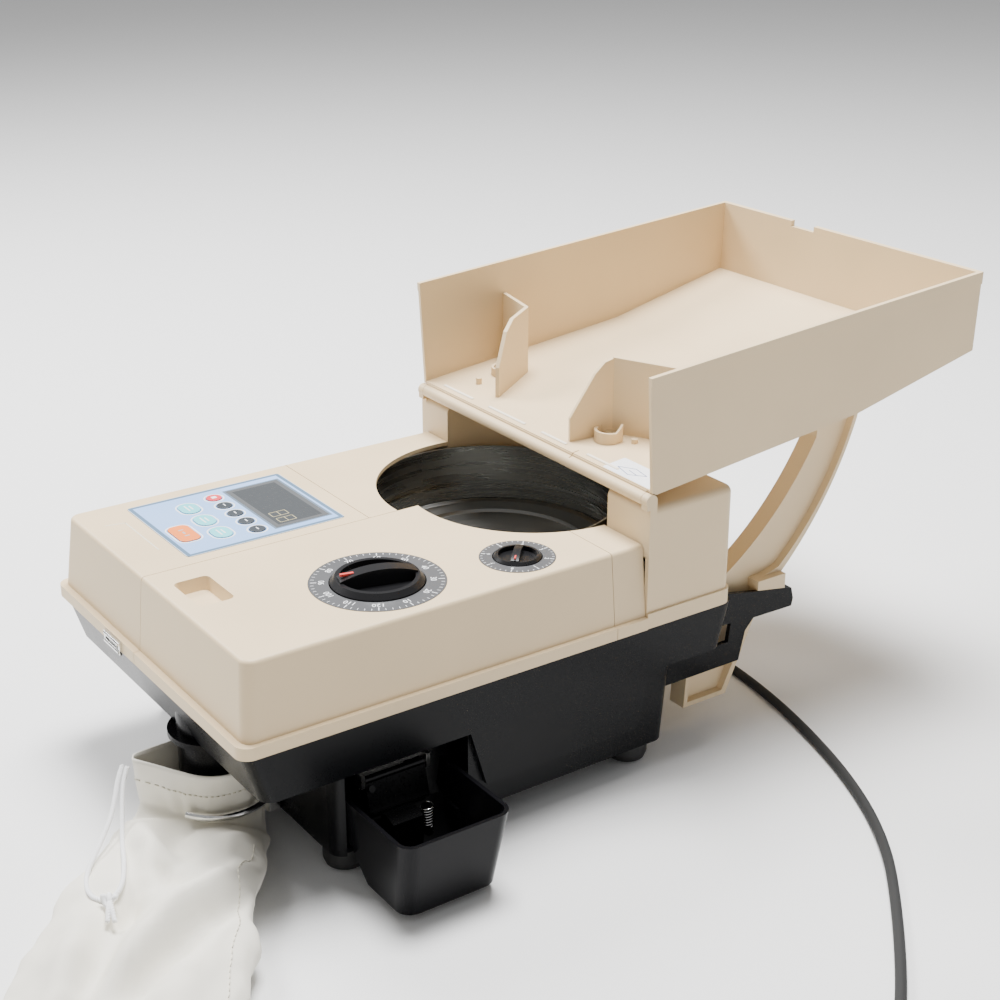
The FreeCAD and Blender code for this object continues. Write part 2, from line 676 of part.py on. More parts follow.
def hopper_tray():
    half = HALF_WIDTH - TRAY_WALL
    tray = tray_solid()
    nose = bar((-115, HINGE_Y, HINGE_Z), (115, HINGE_Y, HINGE_Z), NOSE_R)
    web = box(-115, 115, HINGE_Y, HINGE_Y + 4.5, HINGE_Z, 180.5)
    tray = tray.fuse(nose).fuse(web)
    tray = tray.cut(prism_x(tray_inside(), -half, half))
    below_band = [(80, 150), (80, 242.7), (362, 260.9), (372, 261), (372, 150)]
    for side in (-1, 1):
        x0, x1 = sorted((side * (HALF_WIDTH - 0.7), side * (HALF_WIDTH + 2)))
        tray = tray.cut(prism_x(below_band, x0, x1))
        x0, x1 = sorted((side * 114.9, side * (HALF_WIDTH + 2)))
        tray = tray.cut(bar((x0, HINGE_Y, HINGE_Z), (x1, HINGE_Y, HINGE_Z), NOSE_R + 0.5))
    tray = tray.cut(box(-48, -26, 350, 365, 264.4, 275))
    tray = tray.cut(bar((-116, HINGE_Y, HINGE_Z), (116, HINGE_Y, HINGE_Z), HINGE_ROD_R + RUNNING_GAP))
    tray = tray.cut(box(44.7, 45.5, 90, 101, 178.4, 182))
    for x, y in ((60.7, 131.0), (-87.7, 119.0)):
        tray = tray.fuse(cyl(x, y, 182, 187.5, 2.0))
    for x, y in BOSSES:
        tray = tray.fuse(tray_boss(x, y))
    return tray


BOSSES = [(45.0, 124.5), (-90.0, 142.0)]


def tray_boss(x, y):
    """A curved wall round a guide screw, tall behind and low in front."""
    ring = cyl(x, y, 180, 200, 9.5).cut(cyl(x, y, 180, 201, 7.8))
    ring = ring.cut(prism_x([(y - 20, 190.5), (y - 2, 190.5), (y + 9, 201), (y + 9, 210), (y - 20, 210)],
                            x - 20, x + 20))
    ring = ring.cut(box(x - 20, x + 20, y + 3, y + 20, 170, 210))
    below = prism_x([(80, 150), (80, 178), (257.3, 196.8), (257.3, 150)], -200, 200)
    return ring.cut(below)


def wall_piece(start, end, low, top, thickness):
    """An upright plate between two plan points, with its top given as (distance, height) pairs."""
    a, b = V(*start, 0), V(*end, 0)
    way = (b - a).normalize()
    side = V(-way.y, way.x, 0)
    outline = [(0, low)] + [(top[-1][0], low)] + list(reversed(top))
    pts = [a + way * s + side * (-thickness / 2) + V(0, 0, z) for s, z in outline]
    return Part.Face(Part.makePolygon(pts + pts[:1])).extrude(side * thickness)


def above_floor(shape):
    return shape.common(prism_x(tray_inside(), -HALF_WIDTH + TRAY_WALL, HALF_WIDTH - TRAY_WALL))


def tray_guide_right():
    lip, fold, wall = (30.0, 105.0), (38.4, 131.6), (119.0, 168.2)
    front = wall_piece(lip, fold, 170, [(0, 197), (16, 224), (22, 230.5), (29, 233)], 2.6)
    back = wall_piece(fold, wall, 170, [(0, 233), (90, 233)], 2.6)
    return above_floor(join(front, back))


def tray_guide_left():
    lip, fold, wall = (-58.9, 113.7), (-81.3, 152.8), (-119.0, 160.6)
    front = wall_piece(lip, fold, 170, [(0, 203), (12, 224), (22, 230), (45.2, 232)], 2.6)
    back = wall_piece(fold, wall, 170, [(0, 232), (40, 232)], 2.6)
    return above_floor(join(front, back))


def tray_screws():
    """The screws and washers in the tray's two bosses."""
    screws = []
    for x, y in BOSSES:
        floor = 178.4 + TRAY_WALL + (y - 98.3) * 0.1055
        screw = cyl(x, y, floor - 1.5, floor + 2.2, 6.2)
        screw = screw.fuse(cyl(x, y, floor + 2, floor + 5, 3.2))
        screws.append(screw.cut(prism_x([(80, 150), (80, floor - (y - 80) * 0.1055),
                                         (257.3, floor + (257.3 - y) * 0.1055),
                                         (257.3, 150)], -200, 200)))
    return Part.makeCompound(screws)


def arc_edge(a, b, c, x):
    return Part.Arc(V(x, *a), V(x, *b), V(x, *c)).toShape()


def line_edge(a, b, x):
    return Part.makeLine(V(x, *a), V(x, *b))


def arm_face(x, inset):
    """The side view of a tray arm: a curved bow down to a shoulder, and a tongue below it."""
    top_y, s = 284 - inset, inset
    edges = [
        line_edge((top_y, 206), (279.5 - s, 182), x),
        arc_edge((279.5 - s, 182), (262.5 - 0.8 * s, 143.2 + 0.4 * s), (223 - s, 91 + 1.2 * s), x),
        line_edge((223 - s, 91 + 1.2 * s), (204 - s, 86.4 + s), x),
        line_edge((204 - s, 86.4 + s), (200.7 - s, 63.6), x),
        line_edge((200.7 - s, 63.6), (180 - s, 16.7 + s), x),
        line_edge((180 - s, 16.7 + s), (145.5 + s, 16.7 + s), x),
        line_edge((145.5 + s, 16.7 + s), (147 + s, 39 - 0.3 * s), x),
        line_edge((147 + s, 39 - 0.3 * s), (168.5 + s, 68), x),
        line_edge((168.5 + s, 68), (169 + s, 97), x),
        arc_edge((169 + s, 97), (214 + 0.7 * s, 133 - 0.7 * s), (245 + s, 176), x),
        line_edge((245 + s, 176), (247 + s, 206), x),
        line_edge((247 + s, 206), (top_y, 206), x),
    ]
    return Part.Face(Part.Wire(edges))


def tray_arm(side):
    x0 = side * ARM_X - ARM_HALF
    arm = arm_face(x0, 0).extrude(V(2 * ARM_HALF, 0, 0))
    for x in (x0 - 1, x0 + ARM_HALF + 1.5):
        arm = arm.cut(arm_face(x, 3).extrude(V(ARM_HALF - 0.5, 0, 0)))
    ledge = prism_x([(199, 85.0), (222, 80.9), (222, 91), (199, 91)], side * ARM_X - 11, side * ARM_X + 11)
    return arm.fuse(ledge).cut(tray_solid())


def tray_arms():
    return Part.makeCompound([tray_arm(-1), tray_arm(1)])


def arm_guide(side):
    """Two side plates behind the base that guide an arm, with a cross wall at their rear."""
    outline = [(160, 93), (179.3, 88.5), (198, 84.8), (228, 79.4), (230, 71.8), (228.8, 66.5), (196.6, 67.1),
               (190, 60), (185.5, 40.5), (118, 40.5), (118, 56), (176, 56), (177.5, 68.5), (153, 69.5)]
    near = ARM_HALF + GUIDE_GAP
    x = side * ARM_X
    plates = [prism_x(outline, *sorted((x + s * near, x + s * (near + GUIDE_PLATE)))) for s in (-1, 1)]
    cross = box(x - near - GUIDE_PLATE, x + near + GUIDE_PLATE, 226, 230, 67, 80.2)
    cross = cross.common(prism_x(outline, x - 20, x + 20))
    guide = join(plates[0], plates[1], cross)
    return guide.cut(base_outer())


def arm_guides():
    return Part.makeCompound([arm_guide(-1), arm_guide(1)])


# ---------------------------------------------------------------- reject cup

def cup_slope():
    """The sloped rear part of the cup's floor."""
    return prism_y([(133.5, 5), (110, 29), (111.8, 30.6), (136, 7.5), (136, 5)], -110, -30)


def reject_cup():
    w = CUP_WALL
    low, high = (90, 171, -104, -44), (90, 175.7, -106, -37)
    outer = frustum(low, 5, high, CUP_RIM_Z, 9)
    low_in, high_in = (80, 171 - w, -104 + w, -44 - w), (80, 175.7 - w, -106 + w, -37 - w)
    cup = outer.cut(frustum(low_in, 5 + w, high_in, CUP_RIM_Z + 0.01, 6.5))
    cup = cup.cut(box(80, CUP_REAR_X, -120, -20, 0, 60))
    cup = cup.cut(prism_y([(100, 0), (133.5, 0), (133.5, 5), (110, 29), (106, 33), (100, 33)], -120, -20))
    return cup.fuse(cup_slope().common(outer))


def cup_catch():
    """The catch that holds the cup on the base: a hooked block, a spring and a divider."""
    hook = prism_y([(117, 26), (117, 34), (122, 35.5), (130, 33), (131, 24), (129, 13), (126, 15.5),
                    (121, 20)],
                   -85, -66)
    divider = prism_y([(119, 22), (119, 30), (132, 30), (140, 7.5), (133.4, 7.5)], -45.8, -43.8)
    spring = cyl(124, -60, 16, 34, 3.2).cut(cyl(124, -60, 15, 35, 2.0))
    under = cup_slope().fuse(prism_y([(110, 29), (133.5, 5), (90, 0)], -120, -20))
    return Part.makeCompound([part.cut(under) for part in (hook, divider, spring)])


FLAP_PIN = (106.0, 50.0)


def flap_bracket():
    x, z = FLAP_PIN
    plate = box(95.5, x, -92, -48, z + 4, z + 5.6)
    bracket = plate.fuse(box(95.5, 97, -92, -48, z + 4, z + 14))
    for y in (-92, -50.4):
        bracket = bracket.fuse(box(x - 4, x + 3, y, y + 2.4, z - 3, z + 5.6))
    return bracket.fuse(bar((x, -92, z), (x, -48, z), 1.2))


def reject_flap():
    x, z = FLAP_PIN
    sheet = prism_y([(x + 0.6, z), (x + 2.0, z), (x + 6.8, 32), (x + 5.4, 32)], -89, -51)
    lip = prism_y([(x + 5.4, 32), (x + 5.4, 33.2), (x + 8.6, 33.8), (x + 8.9, 32.6)], -88, -52)
    knuckle = bar((x, -89, z), (x, -51, z), 2.4)
    screw = bar((x + 1.5, -86.4, 45.5), (x + 5, -86.4, 46.8), 2.0)
    flap = join(sheet, lip, knuckle, screw)
    return flap.cut(bar((x, -95, z), (x, -45, z), 1.2 + RUNNING_GAP))


# ---------------------------------------------------------------- spout, clamp and bag

def coin_spout():
    tube = cyl(TRACK_X, SPOUT_Y, SPOUT_BOTTOM_Z, PLATE_Z + PLATE_T, SPOUT_R)
    flange = cyl(TRACK_X, SPOUT_Y, 62.5, PEDESTAL_TOP_Z, SPOUT_R + 5)
    tube = tube.fuse(flange)
    return tube.cut(cyl(TRACK_X, SPOUT_Y, 0, 110, SPOUT_R - 2))


def bag_clamp():
    """A wire spring clip that squeezes the bag's neck on the spout, with its block on the base."""
    cx, cy, z = TRACK_X + 1.5, SPOUT_Y + 0.5, 24.0

    def at(turn):
        a = math.radians(turn)
        return V(cx + CLAMP_R * math.cos(a), cy + CLAMP_R * math.sin(a), z)

    tip = 298
    path = Part.Wire([Part.Arc(at(tip), at(353), at(408)).toShape()])
    start = at(tip)
    heading = V(-math.sin(math.radians(tip)), math.cos(math.radians(tip)), 0)
    ring = Part.Wire([Part.Circle(start, heading, CLAMP_WIRE_R).toShape()])
    wire = path.makePipeShell([ring], True, False)
    block = slab(at(48).x - 4.5, at(48).x + 7, at(48).y - 5, PEDESTAL_FRONT_Y, 16.5, 32, 2)
    return wire.fuse(block)


BAG_WAY = V(0.743, -0.669, 0)
BAG_SECTIONS = [(4, 0, 52, 14), (26, -2, 72, 18.5), (45, -5, 85, 23), (85, -4, 97, 30), (112, -0.5, 103, 32),
                (140, 3, 111, 31.6), (166, 6, 119, 29.6), (220, 6, 126, 21.6), (262, 6, 123, 8)]


def bag_section(way, sideways, width, height):
    """One flattened cross-section of the bag where it lies along the bench."""
    across = V(-BAG_WAY.y, BAG_WAY.x, 0)
    centre = V(TRACK_X, SPOUT_Y, height / 2) + BAG_WAY * way + across * sideways
    shape = Part.Ellipse(V(0, 0, 0), width / 2, height / 2).toShape()
    shape.Placement = FreeCAD.Placement(centre, FreeCAD.Rotation(across, V(0, 0, 1), BAG_WAY, "XYZ"))
    return Part.Wire([shape])


def coin_bag():
    """The cloth bag as one closed body: an upright neck round the spout and a slumped body."""
    body = Part.makeLoft([bag_section(*section) for section in BAG_SECTIONS], True, False)
    neck = lathe(TRACK_X, SPOUT_Y, [(0, 6), (21, 6), (25.3, 12), (25.3, 40), (26.3, 48), (24.5, 48),
                                    (22.8, 40), (22.8, 18), (0, 18)])
    room = box(-50, 300, -400, -113.4, 0, 60)
    return body.cut(cyl(TRACK_X, SPOUT_Y, 17.9, 60, 22.8)).fuse(neck).common(room)


STRING_ROUTE = [(7.3, -186.6, 44.5), (13.1, -192, 41), (22.4, -198.1, 36), (33.5, -205.8, 31),
                (42.8, -214.1, 28.2), (53.8, -223.2, 26.8), (67.6, -234.1, 26.2),
                (84.9, -241.3, 29), (97.4, -242.3, 31.2), (104.7, -239.1, 32.4), (104.3, -233, 33),
                (95.2, -225, 32.7), (74.5, -215.8, 30.5), (57, -209.5, 27.2), (46.5, -205.1, 27.5),
                (35.4, -200, 31), (24.6, -194.9, 36), (16.3, -190, 41), (10.3, -185, 44.5)]
KNOT = (107.8, -237.9, 35)


def bag_drawstring():
    return route_tube(STRING_ROUTE, 1.5, "bag_drawstring")


def string_knot():
    """The knot that closes the drawstring's loop, with two short ends."""
    x, y, z = KNOT
    knot = Part.makeSphere(3.2, V(x, y, z))
    ends = [bar(KNOT, (x + 17.5, y - 4.5, z - 1.7), 1.5), bar(KNOT, (x + 15.5, y - 7.5, z - 1.7), 1.5)]
    return join(knot, *ends)


# ---------------------------------------------------------------- power cord

CORD_ROUTE = [(-20, 148, 38), (-19.5, 172, 34.5), (-15, 194, 23), (-2, 211.5, 9), (20, 222.5, 3),
              (47, 225, 3), (80, 221.5, 3), (117, 214.5, 3), (157, 203.5, 3), (197, 189.5, 3),
              (237, 170.5, 3), (272, 147.5, 3),
              (301, 122, 3), (330, 94.5, 3), (357, 67, 3), (378, 42.5, 3), (384, 14, 3), (384, -22, 3)]


def power_cord():
    return route_tube(CORD_ROUTE, CORD_R, "power_cord")


def cord_coil():
    ring = cyl(COIL_X, COIL_Y, 0, COIL_H, COIL_OUT_R).cut(cyl(COIL_X, COIL_Y, -1, COIL_H + 1, COIL_IN_R))
    return soften(ring, 2.5, level_edge(COIL_H))


PLUG_Y = -62.0


def plug():
    """A two-pin mains plug that lies beside the coil, its lead leaving the coil's upper turn."""
    x = COIL_X + 12
    z = 9.0
    relief = Part.makeCone(4.2, 5.2, 22, V(x, PLUG_Y, z), V(1, 0, 0))
    body = box(x + 22, x + 50, PLUG_Y - 9, PLUG_Y + 9, 0.5, 17.5)
    body = soften(body, 4, lambda e: e.BoundBox.XLength > 20)
    pins = [bar((x + 50, PLUG_Y + s * 6, z), (x + 68, PLUG_Y + s * 6, z), 2.0) for s in (-1, 1)]
    return join(relief, body, *pins)


def cord_gland():
    """A tapered strain relief on the pedestal's rear wall."""
    def turned(points):
        wire = Part.makePolygon([V(-20 + r, y, 38) for y, r in points + points[:1]])
        return Part.Face(wire).revolve(V(-20, 0, 38), V(0, 1, 0), 360)

    return turned([(114.5, CORD_R), (114.5, 8), (117, 8), (117, 6.1), (122.5, 6.1), (122.5, 8.5), (126, 8),
                   (148, 4.4), (148, CORD_R)]).fuse(bar((-20, 114.5, 38), (-20, 148, 38), CORD_R))


# ---------------------------------------------------------------- hand the pieces over

PIECES = [
    base_chassis, base_plate, rubber_feet, left_cover, left_rear_cover, right_cover, right_rear_strip,
    rear_column, hinge_rod, front_latch, control_panel, display_window, key_board, dial_switches,
    mechanism_plate, hopper_bowl, feed_disc, disc_shaft, disc_pulley, motor_pulley, motor, drive_belt,
    coin_track, front_roller, rear_roller, transport_belt, reject_chute, main_board, power_supply,
    hopper_tray, tray_guide_right, tray_guide_left, tray_screws, tray_arms, arm_guides, reject_cup,
    cup_catch, flap_bracket, reject_flap, coin_spout, bag_clamp, coin_bag, bag_drawstring, string_knot,
    power_cord, cord_coil, plug, cord_gland,
]


def save(name, shape):
    shape.exportStep(f"parts/{name}.step")
    solids = len(shape.Solids)
    state = "valid" if shape.isValid() else "INVALID"
    print(f"{name:20s} {solids} solid(s) {shape.Volume / 1000:9.2f} cm3 {state}")


def main():
    os.makedirs("parts", exist_ok=True)
    for make in PIECES:
        save(make.__name__, make())
    for name, x, y, a, b in key_list():
        save(name, key_cap(x, y, a, b))
    save("dial_plates", Part.makeCompound([dial_plate(*DIAMETER_DIAL), dial_plate(*THICKNESS_DIAL)]))
    save("diameter_knob", dial_knob(*DIAMETER_DIAL, DIAMETER_SET_DEG))
    save("thickness_knob", dial_knob(*THICKNESS_DIAL, THICKNESS_SET_DEG))


main()
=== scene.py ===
import json
import math

import bmesh
import bpy
from bpy.props import FloatProperty, FloatVectorProperty, IntProperty, PointerProperty
from mathutils import Matrix, Vector, noise


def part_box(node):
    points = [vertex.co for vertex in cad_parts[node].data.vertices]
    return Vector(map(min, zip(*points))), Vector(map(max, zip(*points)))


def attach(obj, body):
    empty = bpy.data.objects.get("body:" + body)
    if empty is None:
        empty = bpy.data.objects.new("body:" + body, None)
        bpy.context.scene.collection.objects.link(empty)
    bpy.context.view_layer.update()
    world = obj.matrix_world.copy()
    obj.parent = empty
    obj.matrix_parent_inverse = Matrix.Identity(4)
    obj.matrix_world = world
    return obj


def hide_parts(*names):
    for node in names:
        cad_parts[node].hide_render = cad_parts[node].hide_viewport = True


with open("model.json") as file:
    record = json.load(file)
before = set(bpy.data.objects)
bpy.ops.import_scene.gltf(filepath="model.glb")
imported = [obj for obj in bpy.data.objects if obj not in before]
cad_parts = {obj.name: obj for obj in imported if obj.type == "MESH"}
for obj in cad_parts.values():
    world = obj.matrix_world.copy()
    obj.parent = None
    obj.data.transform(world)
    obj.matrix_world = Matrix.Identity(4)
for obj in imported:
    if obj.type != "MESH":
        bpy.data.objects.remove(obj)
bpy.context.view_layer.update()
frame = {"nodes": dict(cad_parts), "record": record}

bl_info = {
    "name": "Coin Sorting Machine",
    "version": (1, 0, 0),
    "blender": (4, 5, 0),
    "location": "View3D > Sidebar > Coin Sorter",
    "description": "Dresses the coin sorting machine: finishes, cords, bag, panel print and dial scales",
    "category": "Object",
}

MACHINE = "machine"


# ---------------------------------------------------------------- settings

class CasingSettings(bpy.types.PropertyGroup):
    """Colours and grain of the moulded casing."""
    cream: FloatVectorProperty(name="Cream", description="Colour of the upper casing and the tray",
                               subtype="COLOR", default=(0.72, 0.56, 0.345), min=0, max=1)
    black: FloatVectorProperty(name="Black", description="Colour of the base casing",
                               subtype="COLOR", default=(0.003, 0.0033, 0.004), min=0, max=1)
    grain: FloatProperty(name="Grain", description="Height of the moulded texture",
                         subtype="DISTANCE", default=0.00004, min=0, max=0.001)


class BagSettings(bpy.types.PropertyGroup):
    """The canvas bag."""
    canvas: FloatVectorProperty(name="Canvas", description="Colour of the unbleached canvas",
                                subtype="COLOR", default=(0.66, 0.565, 0.395), min=0, max=1)
    thread: FloatProperty(name="Thread pitch", description="Distance between two threads of the weave",
                          subtype="DISTANCE", default=0.0009, min=0.0003, max=0.005)
    hem: FloatProperty(name="Hem", description="Depth of the hem that holds the drawstring",
                       subtype="DISTANCE", default=0.013, min=0.005, max=0.05)
    stitches: IntProperty(name="Stitches", description="Number of stitches round the hem", default=52, min=8)


class CordSettings(bpy.types.PropertyGroup):
    """The mains lead and the drawstring."""
    lead: FloatProperty(name="Lead diameter", description="Diameter of the mains lead",
                        subtype="DISTANCE", default=0.006, min=0.003, max=0.012)
    string: FloatProperty(name="String diameter", description="Diameter of the drawstring",
                          subtype="DISTANCE", default=0.003, min=0.001, max=0.006)


class SorterSettings(bpy.types.PropertyGroup):
    """Everything a user may change."""
    casing: PointerProperty(type=CasingSettings, name="Casing", description="Colours of the casing")
    bag: PointerProperty(type=BagSettings, name="Bag", description="The canvas bag")
    cords: PointerProperty(type=CordSettings, name="Cords", description="The lead and the drawstring")


def settings():
    return bpy.context.scene.coin_sorter


# ---------------------------------------------------------------- shader helpers

class Value:
    """A number in a node tree, with Python's operators adding Math nodes."""

    def __init__(self, finish, socket):
        self.finish = finish
        self.socket = socket

    def __add__(self, other):
        return self.finish.maths("ADD", self, other)

    def __sub__(self, other):
        return self.finish.maths("SUBTRACT", self, other)

    def __rsub__(self, other):
        return self.finish.maths("SUBTRACT", other, self)

    def __mul__(self, other):
        return self.finish.maths("MULTIPLY", self, other)

    __radd__ = __add__
    __rmul__ = __mul__


class Finish:
    """A procedural material: a Principled shader and the nodes that feed it."""

    def __init__(self, name, colour, roughness, metallic=0.0, **fixed):
        self.material = bpy.data.materials.new(name)
        self.material.use_nodes = True
        self.tree = self.material.node_tree
        self.shader = self.tree.nodes["Principled BSDF"]
        self.material.diffuse_color = (*colour, 1)
        self.set("Base Color", (*colour, 1))
        self.set("Roughness", roughness)
        self.set("Metallic", metallic)
        for socket, value in fixed.items():
            self.set(socket.replace("_", " "), value)
        self.where = self.node("ShaderNodeTexCoord").outputs["Object"]

    def node(self, kind, options=None, inputs=None):
        made = self.tree.nodes.new(kind)
        for key, value in (options or {}).items():
            setattr(made, key, value)
        for key, value in (inputs or {}).items():
            self.feed(made.inputs[key], value)
        return made

    def feed(self, socket, value):
        if isinstance(value, Value):
            value = value.socket
        if isinstance(value, bpy.types.NodeSocket):
            self.tree.links.new(value, socket)
        else:
            socket.default_value = value

    def set(self, name, value):
        self.feed(self.shader.inputs[name], value)

    def maths(self, operation, a, b=0.0, c=None):
        inputs = {0: a, 1: b}
        if c is not None:
            inputs[2] = c
        made = self.node("ShaderNodeMath", {"operation": operation}, inputs)
        return Value(self, made.outputs[0])

    def xyz(self, vector=None):
        made = self.node("ShaderNodeSeparateXYZ", None, {0: vector or self.where})
        return [Value(self, out) for out in made.outputs]

    def combine(self, x, y, z=0.0):
        return self.node("ShaderNodeCombineXYZ", None, {0: x, 1: y, 2: z}).outputs[0]

    def noise(self, scale, detail=3.0, vector=None, rough=0.5):
        made = self.node("ShaderNodeTexNoise", None,
                         {"Vector": vector or self.where, "Scale": scale, "Detail": detail,
                          "Roughness": rough})
        return Value(self, made.outputs["Fac"])

    def between(self, value, low, high, out_low=0.0, out_high=1.0):
        made = self.node("ShaderNodeMapRange", {"clamp": True},
                         {0: value, 1: low, 2: high, 3: out_low, 4: out_high})
        return Value(self, made.outputs[0])

    def mix(self, factor, a, b):
        made = self.node("ShaderNodeMix", {"data_type": "RGBA"}, {0: factor, 6: a, 7: b})
        return made.outputs[2]

    def bump(self, height, depth, strength=1.0):
        made = self.node("ShaderNodeBump", None, {"Strength": strength, "Distance": depth, "Height": height})
        self.set("Normal", made.outputs[0])

    def uv(self):
        return self.node("ShaderNodeUVMap", {"uv_map": "cloth"}).outputs[0]


def rgba(colour, scale=1.0):
    return tuple(c * scale for c in colour) + (1.0,)


def moulded(name, colour, roughness, grain, spread=0.05, **fixed):
    """Moulded plastic: a fine grain, and slow changes of gloss and tone from handling."""
    finish = Finish(name, colour, roughness, **fixed)
    cloud = finish.noise(14, 3)
    fine = finish.noise(1500, 2)
    tone = finish.between(cloud, 0.35, 0.65)
    finish.set("Base Color", finish.mix(tone, rgba(colour, 0.97), rgba(colour, 1.02)))
    wear = cloud * 0.6 + fine * 0.4
    finish.set("Roughness", finish.between(wear, 0.3, 0.7, roughness - spread, roughness + spread))
    finish.bump(fine, grain)
    return finish


def brushed(name, colour, roughness, centre=None, turned=False):
    """Metal with brush marks: round an axis where a centre is given, along x otherwise."""
    finish = Finish(name, colour, roughness, 1.0)
    x, y, z = finish.xyz()
    if centre is None:
        marks = finish.combine(x * 40, y * 900, z * 900)
    else:
        dx, dy = x - centre[0], y - centre[1]
        r = finish.maths("SQRT", dx * dx + dy * dy)
        angle = finish.maths("ARCTAN2", dy, dx)
        marks = finish.combine(angle * 1.2, r * (1400 if turned else 300), z * 420)
    streak = finish.noise(1.0, 3, marks)
    cloud = finish.noise(25, 3)
    level = finish.between(streak * 0.7 + cloud * 0.3, 0.3, 0.7, 0.0, 1.0)
    finish.set("Roughness", finish.between(level, 0, 1, roughness - 0.09, roughness + 0.13))
    finish.set("Base Color", finish.mix(level, rgba(colour, 0.82), rgba(colour, 1.08)))
    finish.bump(streak, 0.00001, 0.4)
    return finish


def box_distance(finish, centre, half):
    """Signed distance in plan from a rectangle's edge, less inside."""
    x, y, _z = finish.xyz()
    dx = finish.maths("ABSOLUTE", x - centre[0]) - half[0]
    dy = finish.maths("ABSOLUTE", y - centre[1]) - half[1]
    return finish.maths("MAXIMUM", dx, dy)


def band(finish, distance, low, high, soft=0.00008):
    """One where the distance lies between low and high."""
    rise = finish.between(distance, low - soft, low + soft)
    fall = finish.between(distance, high - soft, high + soft)
    return rise * (1 - fall)


def plan(node):
    low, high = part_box(node)
    centre = [(a + b) / 2 for a, b in zip(low, high)]
    half = [(b - a) / 2 for a, b in zip(low, high)]
    return centre, half


# ---------------------------------------------------------------- finishes

def panel_film():
    finish = moulded("panel_film", (0.56, 0.69, 0.87), 0.42, 0.00001)
    distance = box_distance(finish, *plan("control_panel"))
    window = box_distance(finish, *plan("display_window"))
    cloud = finish.noise(9, 2)
    base = finish.mix(finish.between(cloud, 0.3, 0.7), (0.27, 0.45, 0.80, 1), (0.33, 0.50, 0.82, 1))
    base = finish.mix(band(finish, distance, -0.0030, 0.01), base, (0.10, 0.17, 0.26, 1))
    base = finish.mix(band(finish, distance, -0.0005, 0.01), base, (0.55, 0.60, 0.66, 1))
    base = finish.mix(band(finish, window, -0.01, 0.0016), base, (0.12, 0.16, 0.21, 1))
    finish.set("Base Color", base)
    return finish


def smoked_window():
    finish = Finish("smoked_window", (0.10, 0.105, 0.11), 0.22, 0.0, Coat_Weight=0.6, Coat_Roughness=0.12)
    inner = box_distance(finish, *plan("display_window"))
    frame_mask = band(finish, inner, -0.003, 0.01)
    dust = finish.noise(420, 4)
    base = finish.mix(frame_mask, (0.05, 0.055, 0.06, 1), (0.10, 0.105, 0.11, 1))
    finish.set("Base Color", finish.mix(finish.between(dust, 0.6, 0.8, 0, 0.06), base, (0.3, 0.3, 0.28, 1)))
    finish.set("Roughness", finish.between(dust, 0.3, 0.7, 0.18, 0.3))
    return finish


def circuit_board():
    finish = Finish("circuit_board", (0.03, 0.17, 0.07), 0.4, 0.0, Coat_Weight=0.4)
    x, y, _z = finish.xyz()
    tracks = finish.maths("SINE", x * 2400) * finish.maths("SINE", y * 1700)
    paths = finish.between(tracks + finish.noise(60, 2), 0.85, 0.95)
    finish.set("Base Color", finish.mix(paths, (0.02, 0.15, 0.06, 1), (0.45, 0.33, 0.10, 1)))
    finish.bump(paths, 0.00005)
    return finish


def rubber(name, colour, roughness):
    finish = Finish(name, colour, roughness)
    skin = finish.noise(700, 4)
    dust = finish.noise(60, 5)
    dusty = finish.between(dust, 0.5, 0.75, 0, 0.5)
    finish.set("Base Color", finish.mix(dusty, rgba(colour), rgba(colour, 2.4)))
    finish.set("Roughness", finish.between(dust, 0.3, 0.7, roughness - 0.06, roughness + 0.08))
    finish.bump(skin, 0.00008)
    return finish


def canvas_cloth():
    """Plain weave in the cloth's own UV, in metres, with slubs, flecks, soft soiling and painted shade in the
    fold valleys.
    """
    bag = settings().bag
    colour = tuple(bag.canvas)
    finish = Finish("canvas", colour, 0.88, 0.0, Sheen_Weight=0.25, Sheen_Roughness=0.6)
    vector = finish.uv()
    u, v, _w = finish.xyz(vector)
    turn = 2 * math.pi / bag.thread
    slub = finish.noise(1.0, 3, finish.combine(u * 60, v * 1500))
    slub = slub + finish.noise(1.0, 3, finish.combine(u * 1500, v * 60))
    weave = finish.maths("SINE", u * turn) * finish.maths("SINE", v * turn)
    flecks = finish.between(finish.noise(520, 2), 0.76, 0.8)
    cloud = finish.noise(16, 4)
    base = finish.mix(finish.between(cloud, 0.35, 0.7), rgba(colour, 1.03), rgba((0.60, 0.49, 0.31)))
    base = finish.mix(finish.between(slub, 0.8, 1.25, 0, 0.35), base, rgba(colour, 0.82))
    base = finish.mix(flecks * 0.7, base, (0.30, 0.24, 0.16, 1))
    # painted shade: the canvas is darkened towards brown where the fold height is low, in the valleys of the
    # folds
    fold = Value(finish, finish.node("ShaderNodeAttribute", {"attribute_name": "fold"}).outputs["Fac"])
    base = finish.mix(finish.between(fold, 0.15, -0.7, 0, 0.75), base, (0.33, 0.25, 0.15, 1))
    finish.set("Base Color", base)
    finish.set("Roughness", finish.between(slub, 0.7, 1.3, 0.82, 0.94))
    finish.bump(weave * 0.5 + slub * 0.8, 0.0004)
    return finish


def string_cotton():
    finish = Finish("white_string", (0.84, 0.84, 0.85), 0.75, 0.0, Sheen_Weight=0.2)
    fibre = finish.noise(2600, 3)
    lit = finish.between(fibre, 0.35, 0.7)
    finish.set("Base Color", finish.mix(lit, (0.66, 0.66, 0.70, 1), (0.9, 0.9, 0.9, 1)))
    finish.set("Roughness", finish.between(fibre, 0.3, 0.7, 0.65, 0.85))
    finish.bump(fibre, 0.0001)
    return finish


def ink(name, colour, roughness=0.5):
    finish = Finish(name, colour, roughness)
    grainy = finish.noise(1800, 3)
    finish.set("Base Color", finish.mix(finish.between(grainy, 0.3, 0.75), rgba(colour), rgba(colour, 0.88)))
    finish.set("Roughness", finish.between(grainy, 0.3, 0.7, roughness - 0.06, roughness + 0.06))
    return finish


